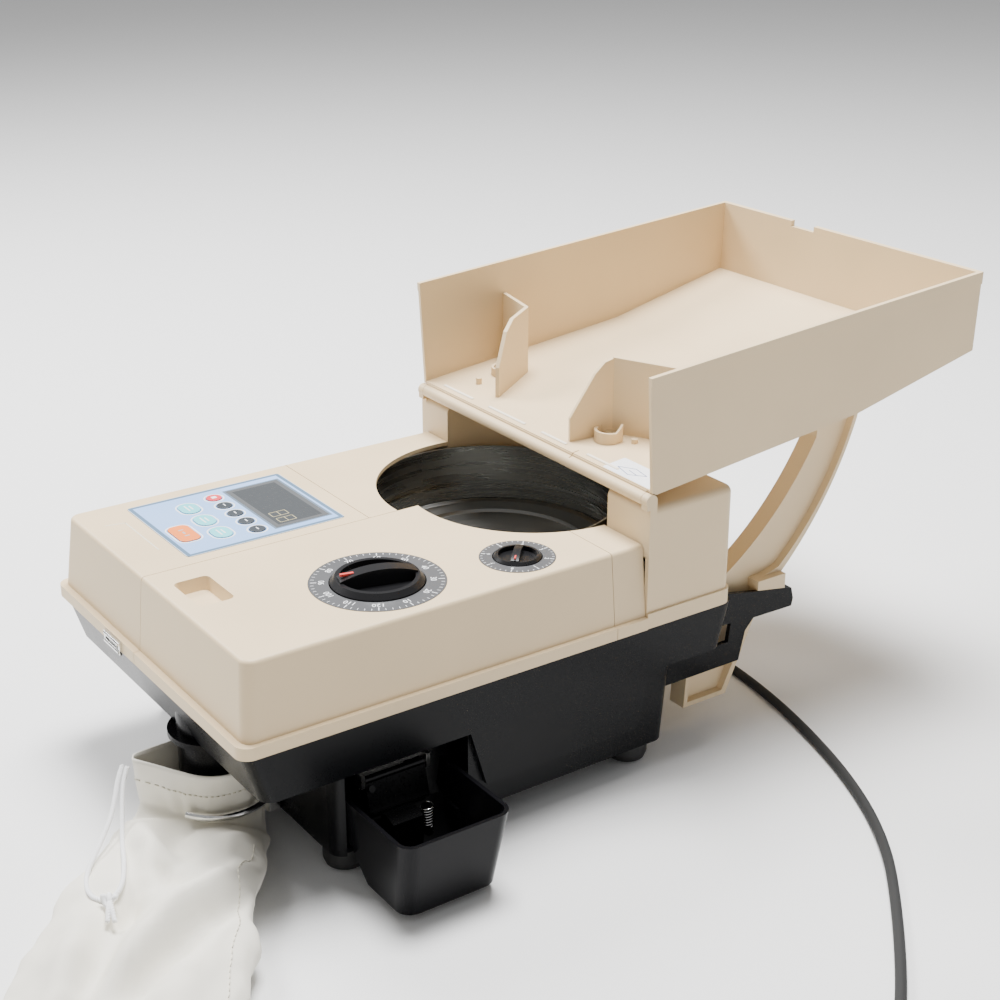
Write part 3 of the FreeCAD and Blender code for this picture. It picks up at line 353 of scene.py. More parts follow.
def all_finishes():
    casing = settings().casing
    bowl = plan("hopper_bowl")[0]
    made = {
        "cream_casing": moulded("cream_casing", tuple(casing.cream), 0.46, casing.grain,
                                Specular_IOR_Level=0.4),
        "black_casing": moulded("black_casing", tuple(casing.black), 0.28, casing.grain * 0.6,
                                Specular_IOR_Level=0.12),
        "black_gloss": moulded("black_gloss", (0.005, 0.005, 0.006), 0.18, 0.00001, Specular_IOR_Level=0.12),
        "black_plastic": moulded("black_plastic", (0.003, 0.003, 0.0035), 0.26, 0.00001,
                                 Specular_IOR_Level=0.08),
        "knob_black": moulded("knob_black", (0.008, 0.008, 0.009), 0.3, 0.00002, Specular_IOR_Level=0.3),
        "zinc_steel": brushed("zinc_steel", (0.58, 0.58, 0.55), 0.34),
        "brushed_steel": brushed("brushed_steel", (0.34, 0.34, 0.32), 0.26, bowl),
        "disc_steel": brushed("disc_steel", (0.26, 0.26, 0.25), 0.34, bowl, True),
        "bright_chrome": brushed("bright_chrome", (0.80, 0.80, 0.79), 0.14),
        "cast_aluminium": brushed("cast_aluminium", (0.60, 0.60, 0.61), 0.42),
        "dark_steel": brushed("dark_steel", (0.05, 0.05, 0.052), 0.3),
        "motor_paint": moulded("motor_paint", (0.07, 0.07, 0.08), 0.35, 0.00005),
        "foot_rubber": rubber("foot_rubber", (0.016, 0.016, 0.016), 0.6),
        "belt_rubber": rubber("belt_rubber", (0.03, 0.03, 0.03), 0.7),
        "panel_film": panel_film(),
        "smoked_window": smoked_window(),
        "circuit_board": circuit_board(),
        "key_red": moulded("key_red", (0.70, 0.05, 0.07), 0.4, 0.00001),
        "key_dark": moulded("key_dark", (0.035, 0.042, 0.05), 0.4, 0.00001),
        "key_cyan": moulded("key_cyan", (0.16, 0.62, 0.68), 0.4, 0.00001),
        "key_orange": moulded("key_orange", (0.88, 0.22, 0.04), 0.4, 0.00001),
        "dial_ring": moulded("dial_ring", (0.075, 0.076, 0.08), 0.42, 0.00002),
        "canvas": canvas_cloth(),
        "white_string": string_cotton(),
        "cord_black": rubber("cord_black", (0.009, 0.009, 0.010), 0.4),
        "white_ink": ink("white_ink", (0.86, 0.87, 0.88)),
        "grey_ink": ink("grey_ink", (0.42, 0.42, 0.42)),
        "red_ink": ink("red_ink", (0.72, 0.06, 0.05)),
        "blue_ink": ink("blue_ink", (0.12, 0.16, 0.30)),
        "amber_ink": ink("amber_ink", (0.40, 0.36, 0.22)),
        "paper": ink("paper", (0.80, 0.82, 0.86), 0.6),
        "thread": ink("thread", (0.74, 0.70, 0.58), 0.8),
    }
    return {name: finish.material for name, finish in made.items()}


# ---------------------------------------------------------------- mesh helpers

def piece(name, bm, material, body, slot_name):
    """A finished mesh as a piece of the object, riding on its body."""
    mesh = bpy.data.meshes.new(name)
    bm.to_mesh(mesh)
    bm.free()
    mesh.materials.append(bpy.data.materials[material])
    made = bpy.data.objects.new(name, mesh)
    bpy.context.scene.collection.objects.link(made)
    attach(made, body)
    return made


def smooth(made, angle=0.6):
    for polygon in made.data.polygons:
        polygon.use_smooth = True
    if angle:
        made.data.set_sharp_from_angle(angle=angle)


def merged(bm, distance=1e-6):
    bmesh.ops.remove_doubles(bm, verts=bm.verts, dist=distance)
    bmesh.ops.recalc_face_normals(bm, faces=bm.faces)


def add_plate(bm, centre, half_a, half_b, r, thickness, turn=0.0, steps=8, hole=0.0):
    """A flat plate with round corners, or a frame of it where hole gives the frame's width."""
    start = set(bm.verts)
    bmesh.ops.create_circle(bm, cap_ends=True, segments=4 * steps, radius=r,
                            matrix=Matrix.Rotation(math.pi / (4 * steps), 4, "Z"))
    verts = [v for v in bm.verts if v not in start]
    for v in verts:
        v.co.x += math.copysign(half_a - r, v.co.x)
        v.co.y += math.copysign(half_b - r, v.co.y)
    face = next(f for f in verts[0].link_faces if set(f.verts) <= set(verts))
    if hole:
        inset = bmesh.ops.inset_region(bm, faces=[face], thickness=hole, use_boundary=True,
                                       use_even_offset=True)
        faces = inset["faces"]
        bmesh.ops.delete(bm, geom=[face], context="FACES_ONLY")
    else:
        faces = [face]
    out = bmesh.ops.extrude_face_region(bm, geom=faces)
    lifted = [g for g in out["geom"] if isinstance(g, bmesh.types.BMVert)]
    bmesh.ops.translate(bm, verts=lifted, vec=(0, 0, thickness))
    made = [v for v in bm.verts if v not in start]
    place = Matrix.Translation(centre) @ Matrix.Rotation(turn, 4, "Z")
    bmesh.ops.transform(bm, matrix=place, verts=made)
    return made


def add_bar(bm, centre, length, width, height, turn=0.0, bevel=0.15):
    """A small bar with softened edges, lying flat and turned about z."""
    made = bmesh.ops.create_cube(bm, size=1.0)["verts"]
    bmesh.ops.scale(bm, vec=(length, width, height), verts=made)
    edges = list({e for v in made for e in v.link_edges})
    out = bmesh.ops.bevel(bm, geom=edges, offset=min(width, height) * bevel, segments=1, profile=0.5,
                          affect="EDGES", material=-1)
    place = Matrix.Translation(centre) @ Matrix.Rotation(turn, 4, "Z")
    bmesh.ops.transform(bm, matrix=place, verts=out["verts"])
    return out["verts"]


def text_mesh(bm, words, centre, size, turn, thickness):
    """Figures as a thin raised print, added to the mesh."""
    curve = bpy.data.curves.new("figures", "FONT")
    curve.body = words
    curve.size = size
    curve.align_x = "CENTER"
    curve.align_y = "CENTER"
    curve.extrude = thickness / 2
    curve.resolution_u = 3
    holder = bpy.data.objects.new("figures", curve)
    mesh = bpy.data.meshes.new_from_object(holder)
    mesh.transform(Matrix.Translation(centre) @ Matrix.Rotation(turn, 4, "Z"))
    bm.from_mesh(mesh)
    bpy.data.objects.remove(holder)
    bpy.data.curves.remove(curve)
    bpy.data.meshes.remove(mesh)


def route_curve(name, points, diameter, resolution=12):
    """A smooth line with the route's points as its control points."""
    curve = bpy.data.curves.new(name, "CURVE")
    curve.dimensions = "3D"
    curve.bevel_depth = diameter / 2
    curve.bevel_resolution = 4
    curve.resolution_u = resolution
    curve.use_fill_caps = True
    spline = curve.splines.new("NURBS")
    spline.points.add(len(points) - 1)
    for target, point in zip(spline.points, points):
        target.co = (*point, 1)
    spline.order_u = 3
    spline.use_endpoint_u = True
    return curve


def line_points(points):
    """Points along the route's smooth line."""
    curve = route_curve("line", points, 0.0, 16)
    holder = bpy.data.objects.new("line", curve)
    mesh = bpy.data.meshes.new_from_object(holder)
    found = [v.co.copy() for v in mesh.vertices]
    bpy.data.objects.remove(holder)
    bpy.data.curves.remove(curve)
    bpy.data.meshes.remove(mesh)
    return found


def directions(path):
    """The way ahead at each point of a path, and a side to it that turns as little as it can."""
    side = None
    for i in range(len(path)):
        ahead = (path[min(i + 1, len(path) - 1)] - path[max(i - 1, 0)]).normalized()
        side = ahead.orthogonal() if side is None else side - ahead * side.dot(ahead)
        side.normalize()
        yield ahead, side.copy()


def tube_along(bm, path, r, sides=8):
    """A round tube through close points, turned along with the path."""
    rings = []
    for i, (point, (ahead, side)) in enumerate(zip(path, directions(path))):
        turn = Matrix((side, ahead.cross(side), ahead)).transposed().to_4x4()
        made = bmesh.ops.create_circle(bm, cap_ends=i in (0, len(path) - 1), segments=sides, radius=r,
                                       matrix=Matrix.Translation(point) @ turn)
        rings.append(made["verts"])
    for a, b in zip(rings, rings[1:]):
        for k in range(sides):
            bm.faces.new((a[k], a[(k + 1) % sides], b[(k + 1) % sides], b[k]))


# ---------------------------------------------------------------- stage

# name, place, width and power of each soft lamp
LAMPS = (("key", (-1.4, -0.5, 1.5), 0.7, 48), ("top", (-0.3, 0.3, 2.2), 0.9, 140))
LAMP_AIM = Vector((0.05, 0, 0.1))
CAMERA_PLACE = (0.8148, -0.4912, 0.5523)
CAMERA_RIGHT = Vector((0.5707, 0.8212, 0))
CAMERA_UP = Vector((-0.3149, 0.2188, 0.9236))
CAMERA_BACK = Vector((0.7585, -0.5271, 0.3834))


class COINSORTER_OT_stage(bpy.types.Operator):
    """Builds the floor, the soft lights and the camera"""
    bl_idname = "coinsorter.stage"
    bl_label = "Stage"

    def execute(self, context):
        bm = bmesh.new()
        bmesh.ops.create_grid(bm, x_segments=1, y_segments=1, size=6)
        mesh = bpy.data.meshes.new("floor")
        bm.to_mesh(mesh)
        bm.free()
        floor = bpy.data.objects.new("floor", mesh)
        floor.location.z = -0.0004
        context.scene.collection.objects.link(floor)
        pale = ink("floor_pale", (0.86, 0.86, 0.86), 0.75)
        mesh.materials.append(pale.material)
        world = bpy.data.worlds.new("studio")
        context.scene.world = world
        world.use_nodes = True
        world.node_tree.nodes["Background"].inputs[0].default_value = (1.0, 1.0, 1.0, 1)
        world.node_tree.nodes["Background"].inputs[1].default_value = 0.42
        for name, place, size, energy in LAMPS:
            light = bpy.data.lights.new(name, "AREA")
            light.size = size
            light.energy = energy
            lamp = bpy.data.objects.new(name, light)
            lamp.location = place
            aim = LAMP_AIM - Vector(place)
            lamp.rotation_euler = aim.to_track_quat("-Z", "Y").to_euler()
            context.scene.collection.objects.link(lamp)
        view = bpy.data.cameras.new("camera")
        view.lens = 62.47
        view.sensor_width = 36
        eye = bpy.data.objects.new("camera", view)
        turn = Matrix((CAMERA_RIGHT, CAMERA_UP, CAMERA_BACK)).transposed().to_4x4()
        eye.matrix_world = Matrix.Translation(CAMERA_PLACE) @ turn
        context.scene.collection.objects.link(eye)
        context.scene.camera = eye
        return {"FINISHED"}


# ---------------------------------------------------------------- finishes on the CAD nodes

class COINSORTER_OT_finishes(bpy.types.Operator):
    """Gives every part of the machine its finish"""
    bl_idname = "coinsorter.finishes"
    bl_label = "Finishes"

    def execute(self, context):
        made = all_finishes()
        slots = {row["node"]: row["material_slot"] for row in frame["record"]["subparts"]}
        special = {"diameter_knob": "knob_black", "thickness_knob": "knob_black", "reject_flap": "dark_steel"}
        for name, node in frame["nodes"].items():
            material = made[special.get(name, slots[name])]
            if not node.material_slots:
                node.data.materials.append(material)
            for place in node.material_slots:
                place.material = material
        return {"FINISHED"}


# ---------------------------------------------------------------- cords

LEAD_ROUTE = [
    (-0.020, 0.148, 0.038), (-0.0195, 0.172, 0.0345), (-0.015, 0.194, 0.023), (-0.002, 0.2115, 0.009),
    (0.020, 0.2225, 0.003), (0.047, 0.225, 0.003), (0.080, 0.2215, 0.003), (0.117, 0.2145, 0.003),
    (0.157, 0.2035, 0.003), (0.197, 0.1895, 0.003), (0.237, 0.1705, 0.003), (0.272, 0.1475, 0.003),
    (0.301, 0.122, 0.003), (0.330, 0.0945, 0.003), (0.357, 0.067, 0.003), (0.378, 0.0425, 0.003),
    (0.384, 0.014, 0.003),
]
COIL_CENTRE = (0.424, -0.022)
COIL_RADII = (0.040, 0.028)
COIL_TURNS = 3
TURN_POINTS = 14
LOWER_TURNS_Z = 0.003
UPPER_TURNS_Z = 0.009
PLUG_Y = -0.062


def coil_place(r, turn, z):
    return (COIL_CENTRE[0] + r * math.cos(turn), COIL_CENTRE[1] + r * math.sin(turn), z)


def coil_points():
    """Six turns: inwards along the floor, and back out one diameter higher."""
    points = []
    steps = COIL_TURNS * TURN_POINTS
    outer, inner = COIL_RADII
    for layer in (0, 1):
        for i in range(steps + 1):
            share = i / steps
            r = outer + (inner - outer) * share if layer == 0 else inner + (outer - inner) * share
            turn = math.pi + 2 * math.pi * (i + layer * steps) / TURN_POINTS
            z = UPPER_TURNS_Z if layer else LOWER_TURNS_Z
            if layer == 1 and i == 0:
                z = (LOWER_TURNS_Z + UPPER_TURNS_Z) / 2
            points.append(coil_place(r, turn, z))
        if layer == 0:
            points.pop()
    return points


class COINSORTER_OT_power_cord(bpy.types.Operator):
    """Lays the mains lead along the bench and winds up its spare length"""
    bl_idname = "coinsorter.power_cord"
    bl_label = "Power cord"

    def execute(self, context):
        d = settings().cords.lead
        end = (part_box("plug")[0][0] + 0.001, PLUG_Y, UPPER_TURNS_Z)
        points = LEAD_ROUTE + coil_points() + self.last_quarter() + [end]
        curve = route_curve("mains_lead", points, d, 8)
        curve.materials.append(bpy.data.materials["cord_black"])
        lead = bpy.data.objects.new("mains_lead", curve)
        context.scene.collection.objects.link(lead)
        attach(lead, MACHINE)
        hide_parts("power_cord", "cord_coil")
        length = measure(line_points(points))
        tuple(LEAD_ROUTE[0])
        return {"FINISHED"}

    def last_quarter(self):
        """The upper turn's last stretch, from the coil's left side to its near side."""
        points = []
        for i in range(1, 4):
            turn = math.pi + 2 * math.pi * i / TURN_POINTS
            points.append(coil_place(COIL_RADII[0], turn, UPPER_TURNS_Z))
        return points


def measure(points):
    return sum((b - a).length for a, b in zip(points, points[1:]))


STRING_ROUTE = [(0.0073, -0.1866, 0.0445), (0.0131, -0.1920, 0.0410), (0.0224, -0.1981, 0.0360),
                (0.0335, -0.2058, 0.0310), (0.0428, -0.2141, 0.0282), (0.0538, -0.2232, 0.0268),
                (0.0676, -0.2341, 0.0262), (0.0849, -0.2413, 0.0290), (0.0974, -0.2423, 0.0312),
                (0.1047, -0.2391, 0.0324), (0.1043, -0.2330, 0.0330), (0.0952, -0.2250, 0.0327),
                (0.0745, -0.2158, 0.0305), (0.0570, -0.2095, 0.0272), (0.0465, -0.2051, 0.0275),
                (0.0354, -0.2000, 0.0310), (0.0246, -0.1949, 0.0360), (0.0163, -0.1900, 0.0410),
                (0.0103, -0.1850, 0.0445)]


def braid(bm, line, d, pitch=0.0055, strands=3):
    """Strands wound round a line, close enough together to fill its thickness."""
    for strand in range(strands):
        path = []
        length = 0.0
        for i, (point, (ahead, side)) in enumerate(zip(line, directions(line))):
            if i:
                length += (point - line[i - 1]).length
            turn = 2 * math.pi * (length / pitch + strand / strands)
            out = side * math.cos(turn) + ahead.cross(side) * math.sin(turn)
            path.append(point + out * d * 0.235)
        tube_along(bm, path, d * 0.265, 7)


def resample(line, step):
    """The same line with points a step apart."""
    out = [line[0].copy()]
    left = step
    for a, b in zip(line, line[1:]):
        run = (b - a).length
        at = 0.0
        while run - at >= left:
            at += left
            out.append(a.lerp(b, at / run))
            left = step
        left -= run - at
    out.append(line[-1].copy())
    return out


class COINSORTER_OT_drawstring(bpy.types.Operator):
    """Lays the twisted drawstring over the bag, with its knot"""
    bl_idname = "coinsorter.drawstring"
    bl_label = "Drawstring"

    def execute(self, context):
        d = settings().cords.string
        line = resample(line_points(STRING_ROUTE), 0.0009)
        bm = bmesh.new()
        braid(bm, line, d)
        merged(bm, 1e-7)
        string = piece("drawstring", bm, "white_string", MACHINE, "white_string")
        smooth(string, 0)
        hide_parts("bag_drawstring")
        bm = bmesh.new()
        knot = Vector((0.1078, -0.2379, 0.0352))
        loops = []
        for i in range(40):
            a = 2 * math.pi * i / 40
            x = 0.0026 * math.sin(2 * a) + 0.0008 * math.cos(3 * a)
            loops.append(knot + Vector((x, 0.0028 * math.cos(a), 0.0017 * math.sin(3 * a))))
        tube_along(bm, loops + [loops[0]], d * 0.45, 8)
        for far in (Vector((0.1248, -0.2424, 0.0334)), Vector((0.1226, -0.2452, 0.0332))):
            rise = [0.0012 * math.sin(math.pi * i / 22) for i in range(23)]
            tail = [knot.lerp(far, i / 22) + Vector((0, 0, z)) for i, z in enumerate(rise)]
            braid(bm, tail, d * 0.9)
        merged(bm, 1e-7)
        tied = piece("drawstring_knot", bm, "white_string", MACHINE, "white_string")
        smooth(tied, 0)
        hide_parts("string_knot")
        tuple(STRING_ROUTE[0])
        round(measure(line), 3)
        [tuple(p) for p in line[::4] + line[-1:]]
        return {"FINISHED"}


# ---------------------------------------------------------------- bag

HUB = Vector((0.028, -0.140, 0))
WAY = Vector((0.743, -0.669, 0))
ACROSS = Vector((0.669, 0.743, 0))
UP = Vector((0, 0, 1))
RING_SIDES = 128
CORNER_TURN = 2.904
PEDESTAL_Y = -0.1139
FLOOR_GAP = 0.0006

# distance from the spout along the bag, sideways offset, half width and half height
BODY = [(0.0262, -0.0060, 0.0410, 0.0092), (0.045, -0.0050, 0.0425, 0.0115), (0.065, -0.0045, 0.0460, 0.0135),
        (0.085, -0.0040, 0.0485, 0.0150), (0.112, -0.0005, 0.0515, 0.0160), (0.140, 0.0030, 0.0555, 0.0158),
        (0.166, 0.0060, 0.0595, 0.0148), (0.195, 0.0060, 0.0620, 0.0130), (0.220, 0.0060, 0.0630, 0.0108),
        (0.240, 0.0060, 0.0625, 0.0080), (0.252, 0.0060, 0.0620, 0.0052), (0.259, 0.0060, 0.0615, 0.0026),
        (0.2625, 0.0060, 0.0610, 0.0009)]

# the cloth's folds: start, end (along and across the bag), height and width
CREASES = [
    ((0.062, 0.046), (0.130, 0.015), 0.0062, 0.0085),
    ((0.118, 0.020), (0.190, -0.006), 0.0056, 0.0085),
    ((0.086, 0.046), (0.150, 0.024), -0.0050, 0.0080),
    ((0.140, 0.026), (0.200, 0.008), -0.0045, 0.0080),
    ((0.046, 0.036), (0.058, 0.018), 0.0040, 0.0120),
    ((0.069, 0.052), (0.064, 0.032), -0.0048, 0.0050),
    ((0.040, -0.034), (0.092, -0.004), 0.0046, 0.0075),
    ((0.034, -0.018), (0.078, 0.004), -0.0042, 0.0070),
    ((0.084, -0.007), (0.097, 0.007), -0.0058, 0.0065),
    ((0.108, -0.012), (0.138, -0.008), -0.0058, 0.0055),
    ((0.128, -0.030), (0.210, -0.022), 0.0042, 0.0090),
    ((0.150, -0.012), (0.225, -0.004), -0.0040, 0.0080),
    ((0.170, 0.036), (0.240, 0.030), 0.0040, 0.0120),
    ((0.170, -0.050), (0.240, -0.040), -0.0030, 0.0080),
]


class Station:
    """One closed ring of cloth: its centre, the tilt of its plane and its half sizes."""

    def __init__(self, centre, tilt, across, deep, spread, run):
        self.centre = centre
        self.up = WAY * math.cos(tilt) + UP * math.sin(tilt)
        self.across = across
        self.deep = deep
        self.spread = spread
        self.run = run

    def point(self, turn):
        """A point of the ring. Spread draws the cloth out to the corner that hangs beside the spout."""
        c, s = math.cos(turn), math.sin(turn)
        bend = 0.80 + 0.20 * min(1.0, self.deep / self.across)
        x = self.across * math.copysign(abs(c) ** bend, c)
        y = self.deep * math.copysign(abs(s) ** bend, s)
        away = abs((turn - CORNER_TURN + math.pi) % (2 * math.pi) - math.pi)
        reach = math.acos(1 / self.spread)
        if away < reach:
            grow = 1 / math.cos(reach - max(away, 0.06))
            x, y = x * grow, y * grow
        return self.centre + ACROSS * x + self.up * y


def bag_stations():
    """Rings from the mouth down round the spout, over the heel and along the bench to the foot seam."""
    rings = []
    run = 0.0
    heights = (0.0478, 0.0450, 0.0415, 0.0380, 0.0345, 0.0310, 0.0275, 0.0245, 0.0215, 0.0185)
    for i, z in enumerate(heights):
        r = 0.0268 - 0.0014 * i / 9
        rings.append(Station(HUB + UP * z, 0.0, r, r, 1.84 - 0.05 * i / 9, run))
        run += 0.0033
    first = BODY[0]
    hinge = HUB + WAY * first[0] + UP * (2 * first[3] + FLOOR_GAP)
    steps = 8
    for i in range(1, steps + 1):
        share = i / steps
        tilt = share * math.pi / 2
        across = 0.0254 + (first[2] - 0.0254) * share
        deep = 0.0254 + (first[3] - 0.0254) * share
        side = first[1] * share
        up = WAY * math.cos(tilt) + UP * math.sin(tilt)
        spread = max(1.0, (0.0455 + side) / across)
        rings.append(Station(hinge - up * deep + ACROSS * side, tilt, across, deep, spread, run))
        run += 0.0045
    for start, end in zip(BODY, BODY[1:]):
        pieces = max(2, round((end[0] - start[0]) / 0.004))
        for i in range(1, pieces + 1):
            way, side, across, deep = (p + (q - p) * i / pieces for p, q in zip(start, end))
            centre = HUB + WAY * way + ACROSS * side + UP * (deep + FLOOR_GAP)
            rings.append(Station(centre, math.pi / 2, across, deep, 1.0, run))
            run += (end[0] - start[0]) / pieces
    return rings


CREASE_STRENGTH = 1.8


def crease_lift(way, side):
    """How far the folds raise or lower the top cloth at a place on the bag."""
    lift = 0.0
    here = Vector((way, side))
    for start, end, height, width in CREASES:
        along = Vector(end) - Vector(start)
        share = max(0.0, min(1.0, (here - Vector(start)).dot(along) / along.length_squared))
        away = (here - (Vector(start) + along * share)).length / width
        lift += height * math.exp(-away * away) * math.sin(math.pi * (0.15 + 0.72 * share))
    return lift * CREASE_STRENGTH


def bag_point(station, turn, last_run):
    """A point of the cloth, with its swelling, gathers and folds."""
    point = station.point(turn)
    out = (point - station.centre).normalized()
    body = min(1.0, max(0.0, (station.run - 0.030) / 0.045))
    foot = min(1.0, (last_run - station.run) / 0.04)
    swell = noise.fractal(Vector((point.x * 24, point.y * 24, point.z * 36)), 0.9, 2.0, 3)
    ripple = math.sin(11 * turn + 2.0 * math.sin(3 * turn))
    gather = ripple * 0.0008 * math.exp(-((station.run - 0.024) / 0.012) ** 2)
    point = point + out * (swell * (0.0010 + 0.0042 * body * foot) + gather)
    flat = point - HUB
    point.z += crease_lift(flat.dot(WAY), flat.dot(ACROSS)) * max(0.0, math.sin(turn)) * body * foot
    point.z = max(point.z, FLOOR_GAP)
    point.y = min(point.y, PEDESTAL_Y)
    return point


class COINSORTER_OT_coin_bag(bpy.types.Operator):
    """Shapes the canvas bag that hangs on the spout and slumps along the bench"""
    bl_idname = "coinsorter.coin_bag"
    bl_label = "Coin bag"

    def execute(self, context):
        rings = bag_stations()
        last_run = rings[-1].run
        bm = bmesh.new()
        cloth = bm.loops.layers.uv.new("cloth")
        # the fold height of each vertex, which the canvas reads to paint shade into the fold valleys
        fold = bm.verts.layers.float.new("fold")
        loops = []
        for station in rings:
            made = bmesh.ops.create_circle(bm, segments=RING_SIDES, radius=1.0)["verts"]
            for k, v in enumerate(made):
                v.co = bag_point(station, 2 * math.pi * k / RING_SIDES, last_run)
                flat = v.co - HUB
                v[fold] = crease_lift(flat.dot(WAY), flat.dot(ACROSS)) / 0.009
            loops.append(made)
        girth = 0.36
        for j, (a, b) in enumerate(zip(loops, loops[1:])):
            for k in range(RING_SIDES):
                face = bm.faces.new((a[k], b[k], b[(k + 1) % RING_SIDES], a[(k + 1) % RING_SIDES]))
                for loop, (u, v) in zip(face.loops, ((k, j), (k, j + 1), (k + 1, j + 1), (k + 1, j))):
                    loop[cloth].uv = (girth * u / RING_SIDES, rings[v].run)
        half = RING_SIDES // 2
        foot = loops[-1]
        for k in range(half):
            pair = (k, k + 1, RING_SIDES - k - 1, (RING_SIDES - k) % RING_SIDES)
            corners = list(dict.fromkeys(foot[i] for i in pair))
            if len(corners) > 2:
                bm.faces.new(corners)
        bmesh.ops.recalc_face_normals(bm, faces=bm.faces)
        bag = piece("canvas_bag", bm, "canvas", MACHINE, "canvas")
        smooth(bag, 0)
        solid = bag.modifiers.new("thickness", "SOLIDIFY")
        solid.thickness = 0.0008
        solid.offset = -1
        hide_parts("coin_bag")
        self.stitching(rings, last_run)
        return {"FINISHED"}

    def stitching(self, rings, last_run):
        """A dashed row of thread below the mouth, and the seam along the body."""
        bag = settings().bag
        bm = bmesh.new()
        station = min(rings, key=lambda r: abs(r.run - bag.hem))
        for i in range(bag.stitches):
            turns = [2 * math.pi * (i + share) / bag.stitches for share in (0.1, 0.35, 0.6)]
            pts = []
            for turn in turns:
                p = bag_point(station, turn, last_run)
                out = (p - station.centre).normalized()
                pts.append(p + out * 0.00035)
            tube_along(bm, pts, 0.00042, 6)
        body = [r for r in rings if r.run > 0.09]
        for a, b in zip(body, body[1:]):
            p, q = (bag_point(r, math.radians(36), last_run) + UP * 0.0003 for r in (a, b))
            tube_along(bm, [p.lerp(q, 0.12), p.lerp(q, 0.82)], 0.0003, 6)
        merged(bm, 1e-8)
        threads = piece("bag_stitches", bm, "thread", MACHINE, "canvas")
        smooth(threads, 0)


# ---------------------------------------------------------------- panel print

PRINT = 0.00006
KEY_SKIRT = 0.0009
OUTLINE_GAP = 0.0016
OUTLINE_WIDTH = 0.0008
WIDE_KEY = 0.010
WIDE_KEY_CORNER = 0.0062


class COINSORTER_OT_panel_print(bpy.types.Operator):
    """Prints the outlines round the keys, their signs and the display's figures"""
    bl_idname = "coinsorter.panel_print"
    bl_label = "Panel print"

    def execute(self, context):
        panel_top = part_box("control_panel")[1][2]
        keys = [name for name in frame["nodes"] if name.endswith("_button") or "_button_" in name]
        bm = bmesh.new()
        for name in keys:
            centre, half = plan(name)
            a, b = half[0] - KEY_SKIRT, half[1] - KEY_SKIRT
            r = min(a, b) + OUTLINE_GAP
            if a > WIDE_KEY:
                r = WIDE_KEY_CORNER
            elif b <= WIDE_KEY_CORNER and abs(a - b) >= 0.0001:
                r -= 0.0001
            place = (centre[0], centre[1], panel_top)
            add_plate(bm, place, a + OUTLINE_GAP, b + OUTLINE_GAP, r, PRINT, hole=OUTLINE_WIDTH)
        merged(bm, 1e-7)
        piece("key_outlines", bm, "white_ink", MACHINE, "panel_film")
        bm = bmesh.new()
        low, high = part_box("display_window")
        for i in range(2):
            centre = (high[0] - 0.0085 - 0.0095 * i, low[1] + 0.011, high[2])
            add_plate(bm, centre, 0.0034, 0.0056, 0.0008, PRINT, steps=3, hole=0.0005)
            add_bar(bm, (centre[0], centre[1], centre[2] + PRINT / 2), 0.0058, 0.0005, PRINT)
        merged(bm, 1e-7)
        piece("display_figures", bm, "amber_ink", MACHINE, "smoked_window")
        self.signs(keys)
        self.corner_line()
        return {"FINISHED"}

    def signs(self, keys):
        """A generic sign on each key: bars and a square."""
        for name in keys:
            centre, _half = plan(name)
            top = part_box(name)[1][2]
            bm = bmesh.new()
            at = (centre[0], centre[1], top + PRINT / 2)
            if name == "start_button":
                for k in (-1, 0, 1):
                    upright = math.radians(90 if k else 0)
                    add_bar(bm, (at[0] + 0.0045 * k, at[1], at[2]), 0.0032, 0.0012, PRINT, upright)
            elif name.startswith("mode"):
                for k in (-1, 1):
                    add_bar(bm, (at[0], at[1] + 0.0013 * k, at[2]), 0.0075 - 0.0012 * k, 0.0009, PRINT)
            elif name == "stop_button":
                add_plate(bm, (at[0], at[1], top), 0.0016, 0.0016, 0.0004, PRINT, steps=3)
            else:
                add_bar(bm, at, 0.0034, 0.0007, PRINT)
            merged(bm, 1e-7)
            body = next(b for b, nodes in frame["record"]["behaviour"]["bodies"].items() if name in nodes)
            plain = "button_" in name or name == "stop_button"
            print_ink = "white_ink" if plain else "grey_ink"
            piece(name + "_sign", bm, print_ink, body, frame_slot(name))

    def corner_line(self):
        """The faint printed corner line on the deck in front of the panel."""
        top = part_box("left_cover")[1][2]
        bm = bmesh.new()
        add_bar(bm, (-0.0609, -0.1359, top + PRINT / 2), 0.0475, 0.0007, PRINT)
        add_bar(bm, (-0.0853, -0.1417, top + PRINT / 2), 0.0122, 0.0007, PRINT, math.radians(79))
        merged(bm, 1e-7)
        piece("deck_line", bm, "thread", MACHINE, "cream_casing")


def frame_slot(node):
    return next(row["material_slot"] for row in frame["record"]["subparts"] if row["node"] == node)


# ---------------------------------------------------------------- dials

# name, centre, ring radius, knob radius, figures, ticks to a figure, and the angle its knob is set to
DIALS = (("diameter", (0.0699, -0.0552), 0.0381, 0.0263, 12, 5, math.radians(256)),
         ("thickness", (0.087, 0.0265), 0.0218, 0.0138, 8, 5, math.radians(317)))


